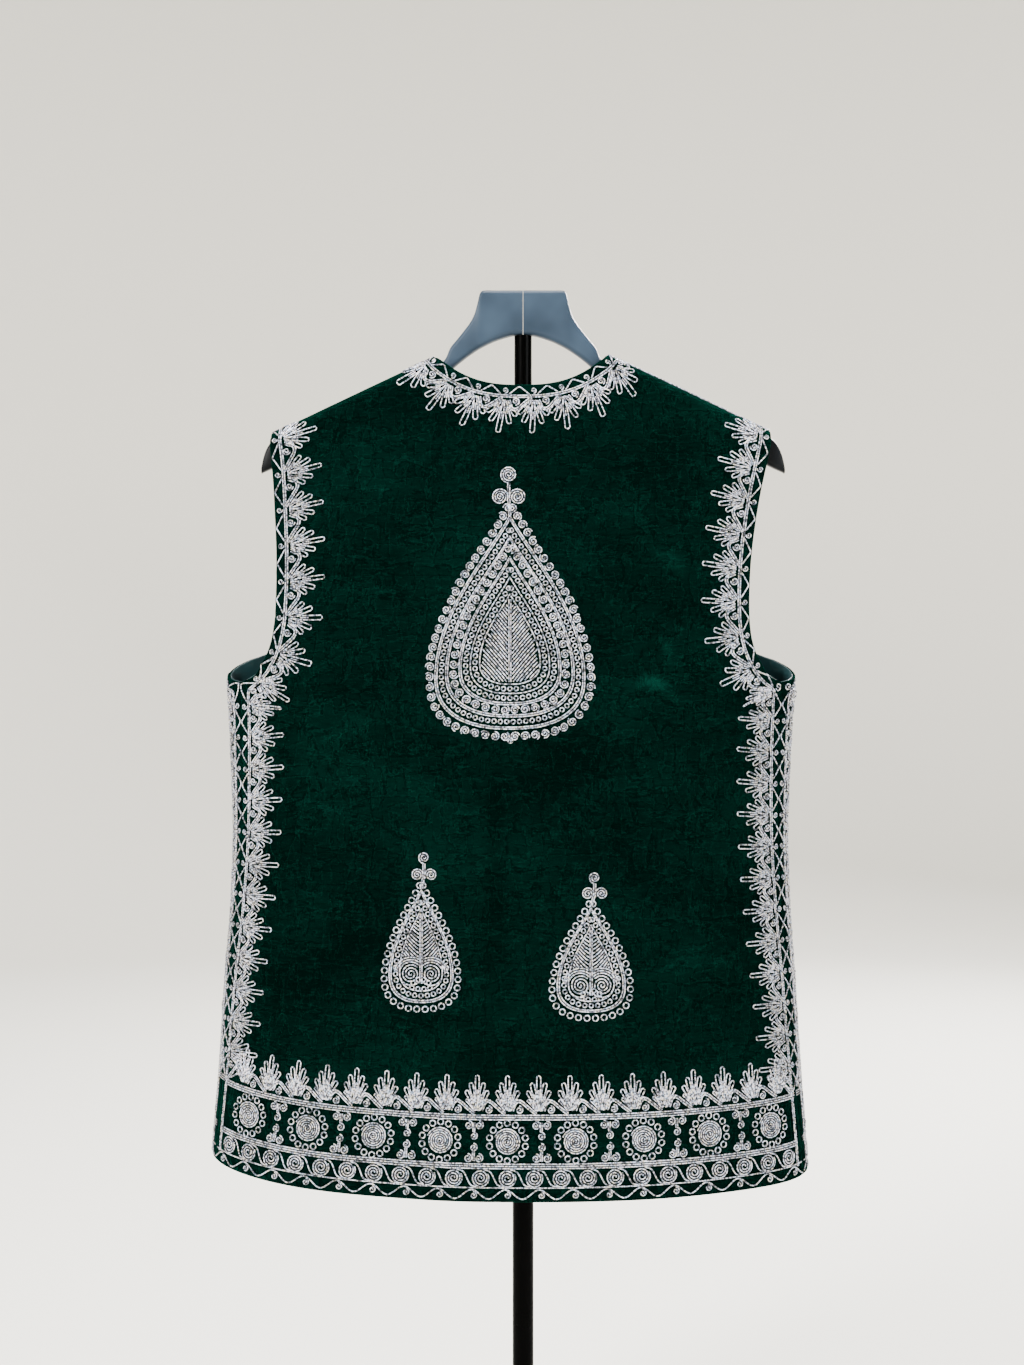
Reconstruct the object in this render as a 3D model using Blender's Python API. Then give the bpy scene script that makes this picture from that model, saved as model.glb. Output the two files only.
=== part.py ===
"""An embroidered velvet vest on a display stand, at its real size in metres.

The stand's pole rises along +Z from the middle of the base's underside, which is the origin.
The vest's front faces -Y, its back faces +Y, and its wearer's left side is at +X. The cloth is
one hollow form worked out from level sections. Each panel is a stretch of that form, given as a
grid of (angle, run): the angle goes round from the centre back, and the run goes down the cloth
from the ridge where the shoulder seams lie. Walls are the grid moved along the form's normal.
"""

import math

import bmesh
import bpy
from mathutils import Vector

# ---- cloth thicknesses and gaps ----
GAP = 0.0003
VELVET_WALL = 0.002
LINING_WALL = 0.001
BORDER_PLATE = 0.001
BOTEH_LIFT = 0.0005

# ---- the ridge: where the cloth turns over the hanger's arms ----
NECK_POINT = 0.0735
NECK_POINT_LEVEL = 1.0645
SHOULDER_SLOPE = 0.485
RIDGE_EASE = 0.030
RIDGE_RADIUS = 0.013
SEAM_RUN = 0.0002

# ---- the worn form ----
SECTIONS = (  # level, half width, how far the middle sits towards +X
    (0.330, 0.2560, 0.0112),
    (0.400, 0.2512, 0.0114),
    (0.460, 0.2462, 0.0112),
    (0.540, 0.2412, 0.0112),
    (0.600, 0.2368, 0.0108),
    (0.660, 0.2350, 0.0106),
    (0.730, 0.2374, 0.0104),
    (0.790, 0.2412, 0.0098),
    (0.860, 0.2450, 0.0080),
    (0.930, 0.2485, 0.0050),
    (0.990, 0.2500, 0.0018),
    (1.100, 0.2500, 0.0018),
)
SHOULDER_HALF = SECTIONS[-1][1]
SHOULDER_SHIFT = SECTIONS[-1][2]
SQUARENESS = 0.04
BACK_FULLNESS = 0.078
FRONT_FULLNESS = 0.072
FULL_BY = 0.30
FULL_EASE = 0.03
ARM_FADE = 0.15
FOLDS = (  # angle round (degrees), spread (degrees), depth as a share of the fullness
    (1.0, 8.0, -0.030),
    (18.0, 9.0, -0.032),
    (-23.0, 10.0, 0.022),
    (42.0, 13.0, 0.028),
    (-47.0, 13.0, -0.030),
    (104.0, 16.0, 0.040),
    (-108.0, 16.0, 0.045),
    (138.0, 13.0, -0.045),
    (-141.0, 14.0, -0.040),
    (160.0, 10.0, 0.030),
    (-163.0, 10.0, 0.036),
)
FOLDS_FROM = 0.98
FOLDS_FULL = 0.60

# ---- the cut ----
HEM_BACK = 0.366
HEM_LEFT = 0.391
HEM_RIGHT = 0.377
SEAM_HALF = 0.945
UNDERARM = 0.787
FRONT_UNDERARM = 0.806
FRONT_UNDERARM_HALF = 0.225
NECK_DEPTH_LEVEL = 1.0368
NECK_CURVE = 2.6
V_POINT = 0.835
V_CURVE = 0.85
FRONT_EDGE_TOP = 0.006
FRONT_EDGE_HEM = 0.012
BACK_ARMHOLE = (  # run down from the shoulder seam, half width there
    (0.2090, 0.2160),
    (0.1990, 0.2090),
    (0.1880, 0.2030),
    (0.1740, 0.1990),
    (0.1500, 0.1970),
    (0.1080, 0.1980),
    (0.0600, 0.2035),
    (0.0204, 0.2100),
    (0.0136, 0.2107),
    (0.0068, 0.2110),
    (SEAM_RUN, 0.2110),
)
FRONT_ARMHOLE = (  # run down from the shoulder seam, half width there
    (0.1857, 0.2025),
    (0.1716, 0.1930),
    (0.1390, 0.1880),
    (0.0900, 0.1920),
    (0.0500, 0.2010),
    (0.0204, 0.2090),
    (0.0136, 0.2103),
    (0.0068, 0.2110),
    (SEAM_RUN, 0.2110),
)
BACK_UNDERARM_RUN = 0.2136
FRONT_UNDERARM_RUN = 0.1950
LOWER_ROWS = (0.0, 0.125, 0.25, 0.36, 0.47, 0.58, 0.69, 0.795, 0.90, 1.0)
HALF_COLUMNS = (0.12, 0.20, 0.25, 0.28, 0.42, 0.545, 0.67, 0.78, 0.89, 1.0)
SIDE_CELLS = 4
FRONT_CELLS = 8

# ---- the embroidered patches: where each teardrop lies ----
BOTEHS = (  # name, middle, foot, top of the body, top of the discs, half width
    ("boteh_large", 0.0111, 0.7385, 0.9357, 0.9647, 0.0705),
    ("boteh_small_left", 0.0835, 0.5176, 0.6236, 0.6480, 0.0326),
    ("boteh_small_right", -0.0550, 0.5110, 0.6090, 0.6360, 0.0346),
)
BELLY_SHARE = 0.764
SIDE_CURVE = 1.12
BOTEH_POINTS = 26
BOTEH_RINGS = (1.0, 0.68, 0.36)
NECK_OF_BOTEH = 0.11

# ---- the stand ----
HANGER_SECTIONS = (  # reach from the middle, top, bottom, half thickness
    (0.0002, 1.1200, 1.0817, 0.0070),
    (0.0090, 1.1200, 1.0817, 0.0070),
    (0.0240, 1.1200, 1.0772, 0.0070),
    (0.0330, 1.1200, 1.0730, 0.0070),
    (0.0356, 1.1190, 1.0716, 0.0070),
    (0.0372, 1.1160, 1.0707, 0.0070),
    (0.0388, 1.1090, 1.0697, 0.0070),
    (0.0413, 1.1000, 1.0681, 0.0069),
    (0.0450, 1.0928, 1.0655, 0.0068),
    (0.0500, 1.0860, 1.0618, 0.0067),
    (0.0560, 1.0785, 1.0569, 0.0066),
    (0.0620, 1.0710, 1.0516, 0.0065),
    (0.0650, 1.0640, 1.0494, 0.0062),
    (0.0682, 1.0592, 1.0471, 0.0060),
    (0.0740, 1.0562, 1.0434, 0.0060),
    (0.1150, 1.0395, 1.0205, 0.0065),
    (0.1600, 1.0184, 0.9976, 0.0065),
    (0.2030, 0.9978, 0.9742, 0.0065),
    (0.2125, 0.9930, 0.9692, 0.0064),
    (0.2165, 0.9880, 0.9674, 0.0062),
    (0.2192, 0.9825, 0.9662, 0.0058),
    (0.2210, 0.9765, 0.9654, 0.0053),
    (0.2222, 0.9700, 0.9648, 0.0046),
)
HANGER_EDGE = 0.0048
HANGER_CORNER_STEPS = 3
UPPER_POLE_RADIUS = 0.0074
LOWER_POLE_RADIUS = 0.0089
POLE_TOP = HANGER_SECTIONS[0][2] - GAP
POLE_JOINT = 0.620
COLLAR_RADIUS = 0.0125
COLLAR_HEIGHT = 0.030
BASE_RADIUS = 0.150
BASE_EDGE = 0.004
BASE_THICK = 0.012
BASE_BOSS_RADIUS = 0.019
BASE_TOP = 0.024
POLE_SIDES = 32
BASE_SIDES = 56


# ---- the worn form ----


def smooth_row(table, at):
    """A table's other columns at one value of its first, on a smooth curve through its rows."""
    last = len(table) - 2
    here = next((i for i in range(last) if at < table[i + 1][0]), last)
    low = table[here]
    high = table[here + 1]
    before = table[max(here - 1, 0)]
    after = table[min(here + 2, last + 1)]
    width = high[0] - low[0]
    share = (at - low[0]) / width
    found = []
    for column in range(1, len(low)):
        rise_low = (high[column] - before[column]) / (high[0] - before[0]) * width
        rise_high = (after[column] - low[column]) / (after[0] - low[0]) * width
        found.append(
            (2 * share**3 - 3 * share**2 + 1) * low[column]
            + (share**3 - 2 * share**2 + share) * rise_low
            + (3 * share**2 - 2 * share**3) * high[column]
            + (share**3 - share**2) * rise_high
        )
    return found


def flattened(wave):
    """A sine or cosine made a little squarer, so that the form is flatter across the back."""
    return ((1 + 3 * SQUARENESS) * wave - 4 * SQUARENESS * wave**3) / (1 - SQUARENESS)


def ridge(across):
    """The level of the shoulder ridge at a distance from the stand's middle."""
    reach = math.hypot(across, RIDGE_EASE) - math.hypot(NECK_POINT, RIDGE_EASE)
    return NECK_POINT_LEVEL - SHOULDER_SLOPE * reach


def ease(share):
    """A smooth step from 0 to 1."""
    share = min(max(share, 0.0), 1.0)
    return share * share * (3 - 2 * share)


def folds(angle, level):
    """The largest folds at a place, as a share of the fullness there."""
    degrees = math.degrees(angle)
    total = sum(
        depth * math.exp(-(((degrees - middle) / spread) ** 2))
        for middle, spread, depth in FOLDS
    )
    return total * ease((FOLDS_FROM - level) / (FOLDS_FROM - FOLDS_FULL))


def form(angle, run):
    """A point on the cloth's outer face."""
    turn = min(run / RIDGE_RADIUS, math.pi / 2)
    drop = RIDGE_RADIUS * (1 - math.cos(turn)) + max(run - RIDGE_RADIUS * math.pi / 2, 0.0)
    across = flattened(math.sin(angle))
    deep = flattened(math.cos(angle))
    level = ridge(SHOULDER_SHIFT + SHOULDER_HALF * across) - drop
    half_width, shift = smooth_row(SECTIONS, level)
    side = math.copysign(1.0, math.cos(angle))
    fullness = BACK_FULLNESS if side > 0 else FRONT_FULLNESS
    grown = fullness * (1 - math.exp(-(drop**2) / (FULL_BY * (drop + FULL_EASE))))
    over_arm = max(0.0, 1 - drop / ARM_FADE) ** 2
    turned = RIDGE_RADIUS * math.sin(turn) * (over_arm * side + (1 - over_arm) * deep)
    return Vector(
        (
            shift + half_width * across,
            turned + grown * deep * (1 + folds(angle, level)),
            level,
        )
    )


def on_form(angle, run, out):
    """A point of the form, moved out along its normal."""
    step = 0.0005
    across = form(angle + step, run) - form(angle - step, run)
    down = form(angle, run + step) - form(angle, run - step)
    return form(angle, run) + out * across.cross(down).normalized()


def run_at(angle, level):
    """The run down the cloth to a level."""
    middle = SHOULDER_SHIFT + SHOULDER_HALF * flattened(math.sin(angle))
    drop = max(ridge(middle) - level, 0.0)
    if drop < RIDGE_RADIUS:
        return RIDGE_RADIUS * math.acos(1 - drop / RIDGE_RADIUS)
    return drop - RIDGE_RADIUS + RIDGE_RADIUS * math.pi / 2


def angle_at(half, level):
    """The angle, in the back's quarter, at a distance from the form's middle."""
    share = half / smooth_row(SECTIONS, level)[0]
    low = 0.0
    high = 1.0
    for _ in range(40):
        middle = (low + high) / 2
        if flattened(middle) < share:
            low = middle
        else:
            high = middle
    return math.asin(low)


def hem_level(angle):
    """The level of the hem: lowest at the centre back, higher at the sides and fronts."""
    side = HEM_LEFT if angle > 0 else HEM_RIGHT
    return HEM_BACK + (side - HEM_BACK) * ease(abs(math.sin(angle / 2)) * 1.25)


# ---- the panels, as grids of (angle, run) ----


def seam_angle():
    """The angle of the side seam."""
    return angle_at(SEAM_HALF * smooth_row(SECTIONS, UNDERARM)[0], UNDERARM)


def back_grid():
    """The back's grid: columns from right to left, rows from the hem up to the ridge and neck."""
    columns = [-share for share in reversed(HALF_COLUMNS)] + [0.0] + list(HALF_COLUMNS)
    side = seam_angle() - 0.0018
    grid = {}
    for i, share in enumerate(columns):
        angle = share * side
        hem = hem_level(angle)
        for j, rise in enumerate(LOWER_ROWS):
            grid[i, j] = (angle, run_at(angle, hem + rise * (UNDERARM - hem)))
        for k, (run, half) in enumerate(BACK_ARMHOLE):
            edge = angle_at(half, ridge(half) - run)
            angle = share * edge
            left = (run - SEAM_RUN) / (BACK_UNDERARM_RUN - SEAM_RUN)
            top = max(run_at(angle, neck_level(angle)), SEAM_RUN)
            foot = run_at(angle, UNDERARM)
            grid[i, len(LOWER_ROWS) + k] = (angle, top + left * (foot - top))
    return grid


def neck_level(angle):
    """The level of the back neckline, or of the ridge beyond it."""
    across = SHOULDER_HALF * abs(flattened(math.sin(angle)))
    if across >= NECK_POINT:
        return ridge(SHOULDER_SHIFT + math.copysign(across, angle))
    rise = (across / NECK_POINT) ** NECK_CURVE
    return NECK_DEPTH_LEVEL + (NECK_POINT_LEVEL - NECK_DEPTH_LEVEL) * rise


def front_edge(level):
    """Half the distance between the front edges at a level: the V neck, then the straight edges."""
    if level > V_POINT:
        up = min((level - V_POINT) / (NECK_POINT_LEVEL - V_POINT), 1.0)
        return FRONT_EDGE_TOP + (NECK_POINT - FRONT_EDGE_TOP) * up**V_CURVE
    down = (V_POINT - level) / (V_POINT - HEM_BACK)
    return FRONT_EDGE_TOP + (FRONT_EDGE_HEM - FRONT_EDGE_TOP) * down


def front_grid(side):
    """One front's grid: columns from the side seam to the front edge, rows from the hem up."""
    seam = seam_angle() + 0.0018
    armpit = math.pi - angle_at(FRONT_UNDERARM_HALF, FRONT_UNDERARM)
    grid = {}
    for i in range(SIDE_CELLS + FRONT_CELLS + 1):
        for j, rise in enumerate(LOWER_ROWS):
            if i <= SIDE_CELLS:
                angle = seam + (armpit - seam) * i / SIDE_CELLS
                top = UNDERARM + (FRONT_UNDERARM - UNDERARM) * (i / SIDE_CELLS) ** 1.5
            else:
                top = FRONT_UNDERARM
                level = HEM_BACK + rise * (top - HEM_BACK)
                edge = math.pi - angle_at(front_edge(level), level)
                angle = armpit + (edge - armpit) * (i - SIDE_CELLS) / FRONT_CELLS
            hem = hem_level(side * angle)
            grid[i, j] = (side * angle, run_at(side * angle, hem + rise * (top - hem)))
    for i in range(FRONT_CELLS + 1):
        for k, (run, half) in enumerate(FRONT_ARMHOLE):
            left = (run - SEAM_RUN) / (FRONT_UNDERARM_RUN - SEAM_RUN)
            outer = math.pi - angle_at(half, ridge(half) - run)
            level = FRONT_UNDERARM + (NECK_POINT_LEVEL - FRONT_UNDERARM) * (1 - left)
            inner = math.pi - angle_at(front_edge(level), level)
            angle = side * (outer + (inner - outer) * i / FRONT_CELLS)
            foot = run_at(angle, FRONT_UNDERARM)
            place = (angle, SEAM_RUN + left * (foot - SEAM_RUN))
            grid[SIDE_CELLS + i, len(LOWER_ROWS) + k] = place
    return grid


def all_cells(grid):
    """The cells of a grid that have all four corners."""
    return [(i, j) for i, j in grid if {(i + 1, j), (i, j + 1), (i + 1, j + 1)} <= grid.keys()]


# ---- making objects ----


def finish_material(name, colour, roughness, metallic=0.0):
    """A plain Principled finish."""
    material = bpy.data.materials.new(name)
    material.use_nodes = True
    shader = material.node_tree.nodes["Principled BSDF"]
    shader.inputs["Base Color"].default_value = (*colour, 1.0)
    shader.inputs["Roughness"].default_value = roughness
    shader.inputs["Metallic"].default_value = metallic
    return material


def add_object(name, mesh_work, material):
    """An object from a bmesh, closed and facing out."""
    bmesh.ops.recalc_face_normals(mesh_work, faces=mesh_work.faces)
    mesh = bpy.data.meshes.new(name)
    mesh_work.to_mesh(mesh)
    mesh_work.free()
    made = bpy.data.objects.new(name, mesh)
    made.data.materials.append(material)
    bpy.context.scene.collection.objects.link(made)
    return made


def wall(name, grid, cells, outside, inside, material):
    """A closed wall over some cells of a grid, between two distances from the form."""
    work = bmesh.new()
    faces = {}
    for out in (outside, inside):
        points = {}
        for i, j in cells:
            for corner in ((i, j), (i + 1, j), (i + 1, j + 1), (i, j + 1)):
                if corner not in points:
                    points[corner] = work.verts.new(on_form(*grid[corner], out))
            corners = ((i, j), (i + 1, j), (i + 1, j + 1), (i, j + 1))
            work.faces.new([points[corner] for corner in corners])
        faces[out] = points
    uses = {}
    for i, j in cells:
        for edge in (
            ((i, j), (i + 1, j)),
            ((i, j + 1), (i + 1, j + 1)),
            ((i, j), (i, j + 1)),
            ((i + 1, j), (i + 1, j + 1)),
        ):
            uses[edge] = uses.get(edge, 0) + 1
    for (first, second), count in uses.items():
        if count == 1:
            rim = (
                faces[outside][first],
                faces[outside][second],
                faces[inside][second],
                faces[inside][first],
            )
            work.faces.new(rim)
    bmesh.ops.triangulate(work, faces=work.faces)
    return add_object(name, work, material)


def teardrop(foot, top, half, share):
    """A point of a teardrop's outline, share 0 to 1 from its top down its left side and back up."""
    belly = top - (top - foot) * BELLY_SHARE
    turn = 2 * math.pi * share
    side = 1 if turn <= math.pi else -1
    down = turn if side > 0 else 2 * math.pi - turn
    if down < math.pi / 2:
        return side * half * math.sin(down) ** SIDE_CURVE, top - (top - belly) * down / (math.pi / 2)
    return side * half * math.sin(down), belly + (belly - foot) * math.cos(down)


def boteh(name, middle, foot, body_top, disc_top, half, material):
    """A teardrop patch lying on the back: rings of points inside its outline, moved out."""
    work = bmesh.new()
    centre = body_top - (body_top - foot) * 0.66
    rings = []
    for out in (BOTEH_LIFT + BORDER_PLATE, BOTEH_LIFT):
        shells = []
        for size in BOTEH_RINGS:
            ring = []
            for k in range(BOTEH_POINTS):
                across, level = teardrop(foot, body_top, half, (k + 0.5) / BOTEH_POINTS)
                if k in (0, BOTEH_POINTS - 1):
                    across = math.copysign(half * NECK_OF_BOTEH, across)
                    level = disc_top
                level = centre + (level - centre) * size
                half_width, shift = smooth_row(SECTIONS, level)
                x = middle + across * size - shift
                angle = math.copysign(angle_at(abs(x), level), x)
                ring.append(work.verts.new(on_form(angle, run_at(angle, level), out)))
            shells.append(ring)
        rings.append(shells)
    for shells in rings:
        for outer, inner in zip(shells, shells[1:]):
            bridge(work, outer, inner)
        work.faces.new(shells[-1])
    bridge(work, rings[0][0], rings[1][0])
    bmesh.ops.triangulate(work, faces=work.faces)
    return add_object(name, work, material)


def bridge(work, first, second):
    """Quads between two closed rings of as many points."""
    count = len(first)
    for k in range(count):
        after = (k + 1) % count
        work.faces.new((first[k], first[after], second[after], second[k]))


def rounded_section(top, bottom, half):
    """An upright rounded rectangle, as (across the thickness, level) points."""
    radius = min(HANGER_EDGE, 0.9 * half, 0.4 * (top - bottom))
    points = []
    for quarter, (across, level) in enumerate(
        (
            (half - radius, top - radius),
            (radius - half, top - radius),
            (radius - half, bottom + radius),
            (half - radius, bottom + radius),
        )
    ):
        for step in range(HANGER_CORNER_STEPS + 1):
            turn = (quarter + step / HANGER_CORNER_STEPS) * math.pi / 2
            points.append((across + radius * math.cos(turn), level + radius * math.sin(turn)))
    return points


def hanger_half(name, side, material):
    """One half of the hanger head, lofted through its sections from the middle to the tip."""
    work = bmesh.new()
    rings = []
    for reach, top, bottom, half in HANGER_SECTIONS:
        section = rounded_section(top, bottom, half)
        rings.append([work.verts.new((side * reach, y, z)) for y, z in section])
    for first, second in zip(rings, rings[1:]):
        bridge(work, first, second)
    work.faces.new(rings[0])
    work.faces.new(rings[-1])
    bmesh.ops.triangulate(work, faces=work.faces)
    return add_object(name, work, material)


def turned(name, profile, sides, material):
    """A solid turned about the pole's axis from (radius, level) points, closed by flat ends."""
    work = bmesh.new()
    rings = []
    for radius, level in profile:
        angles = [2 * math.pi * k / sides for k in range(sides)]
        ring = [(radius * math.cos(turn), radius * math.sin(turn), level) for turn in angles]
        rings.append([work.verts.new(point) for point in ring])
    for first, second in zip(rings, rings[1:]):
        bridge(work, first, second)
    work.faces.new(rings[0])
    work.faces.new(rings[-1])
    made = add_object(name, work, material)
    made.data.shade_smooth()
    made.data.set_sharp_from_angle(angle=math.radians(35))
    return made


# ---- the object ----


def build_cloth(velvet, lining, silver):
    """The three velvet panels, their linings and the embroidered borders that lie on them."""
    panels = (
        ("back", back_grid()),
        ("front_left", front_grid(1)),
        ("front_right", front_grid(-1)),
    )
    top_row = len(LOWER_ROWS) + len(BACK_ARMHOLE) - 1
    for name, grid in panels:
        cells = all_cells(grid)
        wall(name, grid, cells, 0.0, -VELVET_WALL, velvet)
        lining_top = -VELVET_WALL - GAP
        wall(f"lining_{name}", grid, cells, lining_top, lining_top - LINING_WALL, lining)
        border = [cell for cell in cells if on_border(name, *cell)]
        wall(f"border_{name}", grid, border, GAP + BORDER_PLATE, GAP, silver)
    neck = [(i, j) for i in range(5, 15) for j in range(top_row - 4, top_row)]
    wall("border_neck", back_grid(), neck, GAP + BORDER_PLATE, GAP, silver)


def on_border(name, i, j):
    """Whether a cell carries the embroidered border: hem, seams, armholes and front edges."""
    upper = j >= len(LOWER_ROWS) - 1
    if name == "back":
        return j < 2 or i < 3 or i >= 2 * len(HALF_COLUMNS) - 3
    last = SIDE_CELLS + FRONT_CELLS - 1
    if upper:
        return i <= SIDE_CELLS + 1 or i >= last - 1
    beside_armhole = j == len(LOWER_ROWS) - 2 and i <= SIDE_CELLS + 1
    return j < 2 or i < 2 or i >= last - 1 or beside_armhole


def build_stand(wood, metal):
    """The hanger head, the two poles with their collar, and the base."""
    hanger_half("hanger_left", 1, wood)
    hanger_half("hanger_right", -1, wood)
    collar_top = POLE_JOINT + COLLAR_HEIGHT
    upper = ((UPPER_POLE_RADIUS, collar_top + GAP), (UPPER_POLE_RADIUS, POLE_TOP))
    turned("pole_upper", upper, POLE_SIDES, metal)
    soft = 0.0015
    collar = (
        (COLLAR_RADIUS - soft, POLE_JOINT),
        (COLLAR_RADIUS, POLE_JOINT + soft),
        (COLLAR_RADIUS, collar_top - soft),
        (COLLAR_RADIUS - soft, collar_top),
    )
    turned("pole_collar", collar, POLE_SIDES, metal)
    lower = ((LOWER_POLE_RADIUS, BASE_TOP + GAP), (LOWER_POLE_RADIUS, POLE_JOINT - GAP))
    turned("pole_lower", lower, POLE_SIDES, metal)
    base = (
        (BASE_RADIUS - BASE_EDGE / 2, 0.0),
        (BASE_RADIUS, BASE_EDGE / 2),
        (BASE_RADIUS, BASE_THICK - BASE_EDGE),
        (BASE_RADIUS - BASE_EDGE / 3, BASE_THICK - BASE_EDGE / 3),
        (BASE_RADIUS - BASE_EDGE, BASE_THICK),
        (BASE_BOSS_RADIUS + BASE_EDGE, BASE_THICK),
        (BASE_BOSS_RADIUS, BASE_THICK + BASE_EDGE),
        (BASE_BOSS_RADIUS, BASE_TOP - BASE_EDGE / 2),
        (BASE_BOSS_RADIUS - BASE_EDGE / 2, BASE_TOP),
    )
    turned("stand_base", base, BASE_SIDES, metal)


def main():
    """Clear the scene and build every piece."""
    for old in list(bpy.data.objects):
        bpy.data.objects.remove(old)
    velvet = finish_material("green_velvet", (0.002, 0.020, 0.013), 0.85)
    lining = finish_material("teal_lining", (0.008, 0.045, 0.050), 0.45)
    silver = finish_material("silver_cord", (0.45, 0.47, 0.50), 0.35, 0.9)
    wood = finish_material("black_painted_wood", (0.035, 0.045, 0.055), 0.35)
    metal = finish_material("black_painted_metal", (0.006, 0.006, 0.006), 0.25)
    build_cloth(velvet, lining, silver)
    for place in BOTEHS:
        boteh(*place, silver)
    build_stand(wood, metal)


main()
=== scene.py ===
"""The looks of the embroidered velvet vest and its stand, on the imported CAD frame.

The cloth lies on the same hollow form as the CAD solids. A place on it is an (angle, run): the
angle goes round from the centre back, and the run goes down the cloth from the shoulder ridge.
Embroidery is drawn on the flat cloth, as strokes of (along, inward) from an edge, and is then
laid on the form as round metal cord.
"""

import math

import bmesh
import bpy
import numpy as np
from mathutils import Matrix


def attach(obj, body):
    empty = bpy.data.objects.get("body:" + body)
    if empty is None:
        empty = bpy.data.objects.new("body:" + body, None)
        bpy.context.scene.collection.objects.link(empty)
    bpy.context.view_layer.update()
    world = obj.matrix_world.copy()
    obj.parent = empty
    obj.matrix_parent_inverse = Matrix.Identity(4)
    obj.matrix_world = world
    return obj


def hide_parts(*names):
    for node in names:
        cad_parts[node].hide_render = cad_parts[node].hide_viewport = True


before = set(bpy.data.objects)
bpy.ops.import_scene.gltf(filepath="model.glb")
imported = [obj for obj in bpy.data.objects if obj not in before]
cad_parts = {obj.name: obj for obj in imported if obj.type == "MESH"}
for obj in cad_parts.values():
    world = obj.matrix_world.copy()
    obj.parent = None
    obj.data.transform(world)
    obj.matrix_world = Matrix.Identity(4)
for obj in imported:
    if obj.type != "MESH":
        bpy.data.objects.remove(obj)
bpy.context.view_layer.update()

bl_info = {
    "name": "Embroidered velvet vest",
    "version": (1, 0, 0),
    "blender": (4, 5, 0),
    "location": "3D View > Sidebar > Vest",
    "description": "Builds the velvet, lining, metal cord embroidery and stand of a folk vest",
    "category": "Object",
}

# ---- the worn form, as in the CAD ----
GAP = 0.0003
NECK_POINT = 0.0735
NECK_POINT_LEVEL = 1.0645
SHOULDER_SLOPE = 0.485
RIDGE_EASE = 0.030
RIDGE_RADIUS = 0.013
SEAM_RUN = 0.0002
SECTIONS = (  # level, half width, how far the middle sits towards +X
    (0.330, 0.2560, 0.0112),
    (0.400, 0.2512, 0.0114),
    (0.460, 0.2462, 0.0112),
    (0.540, 0.2412, 0.0112),
    (0.600, 0.2368, 0.0108),
    (0.660, 0.2350, 0.0106),
    (0.730, 0.2374, 0.0104),
    (0.790, 0.2412, 0.0098),
    (0.860, 0.2450, 0.0080),
    (0.930, 0.2485, 0.0050),
    (0.990, 0.2500, 0.0018),
    (1.100, 0.2500, 0.0018),
)
SHOULDER_HALF = SECTIONS[-1][1]
SHOULDER_SHIFT = SECTIONS[-1][2]
SQUARENESS = 0.04
BACK_FULLNESS = 0.078
FRONT_FULLNESS = 0.072
FULL_BY = 0.30
FULL_EASE = 0.03
ARM_FADE = 0.15
FOLDS = (  # angle round (degrees), spread (degrees), depth as a share of the fullness
    (1.0, 8.0, -0.030),
    (18.0, 9.0, -0.032),
    (-23.0, 10.0, 0.022),
    (42.0, 13.0, 0.028),
    (-47.0, 13.0, -0.030),
    (104.0, 16.0, 0.040),
    (-108.0, 16.0, 0.045),
    (138.0, 13.0, -0.045),
    (-141.0, 14.0, -0.040),
    (160.0, 10.0, 0.030),
    (-163.0, 10.0, 0.036),
)
FOLDS_FROM = 0.98
FOLDS_FULL = 0.60

# ---- the cut, as in the CAD ----
HEM_BACK = 0.366
HEM_LEFT = 0.391
HEM_RIGHT = 0.377
SEAM_HALF = 0.945
UNDERARM = 0.787
FRONT_UNDERARM = 0.806
FRONT_UNDERARM_HALF = 0.225
NECK_DEPTH_LEVEL = 1.0368
NECK_CURVE = 2.6
V_POINT = 0.835
V_CURVE = 0.85
FRONT_EDGE_TOP = 0.006
FRONT_EDGE_HEM = 0.012
BACK_ARMHOLE = (  # run down from the shoulder seam, half width there
    (0.2090, 0.2160),
    (0.1990, 0.2090),
    (0.1880, 0.2030),
    (0.1740, 0.1990),
    (0.1500, 0.1970),
    (0.1080, 0.1980),
    (0.0600, 0.2035),
    (0.0204, 0.2100),
    (0.0136, 0.2107),
    (0.0068, 0.2110),
    (SEAM_RUN, 0.2110),
)
FRONT_ARMHOLE = (  # run down from the shoulder seam, half width there
    (0.1857, 0.2025),
    (0.1716, 0.1930),
    (0.1390, 0.1880),
    (0.0900, 0.1920),
    (0.0500, 0.2010),
    (0.0204, 0.2090),
    (0.0136, 0.2103),
    (0.0068, 0.2110),
    (SEAM_RUN, 0.2110),
)
BACK_UNDERARM_RUN = 0.2136
FRONT_UNDERARM_RUN = 0.1950
SEAM_PART = 0.0018  # the turn between a side seam's middle and each panel's edge

# ---- where the looks part from the CAD's even cut ----
LEFT_EASE = 0.016  # how much further round the back's left armhole is
LEFT_EASE_RUN = 0.10  # the run at which it is eased most
LEFT_EASE_SPREAD = 0.16
SEAM_SWING = (0.150, 0.110)  # how much further round the side seams are at the hem: left, right

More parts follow.
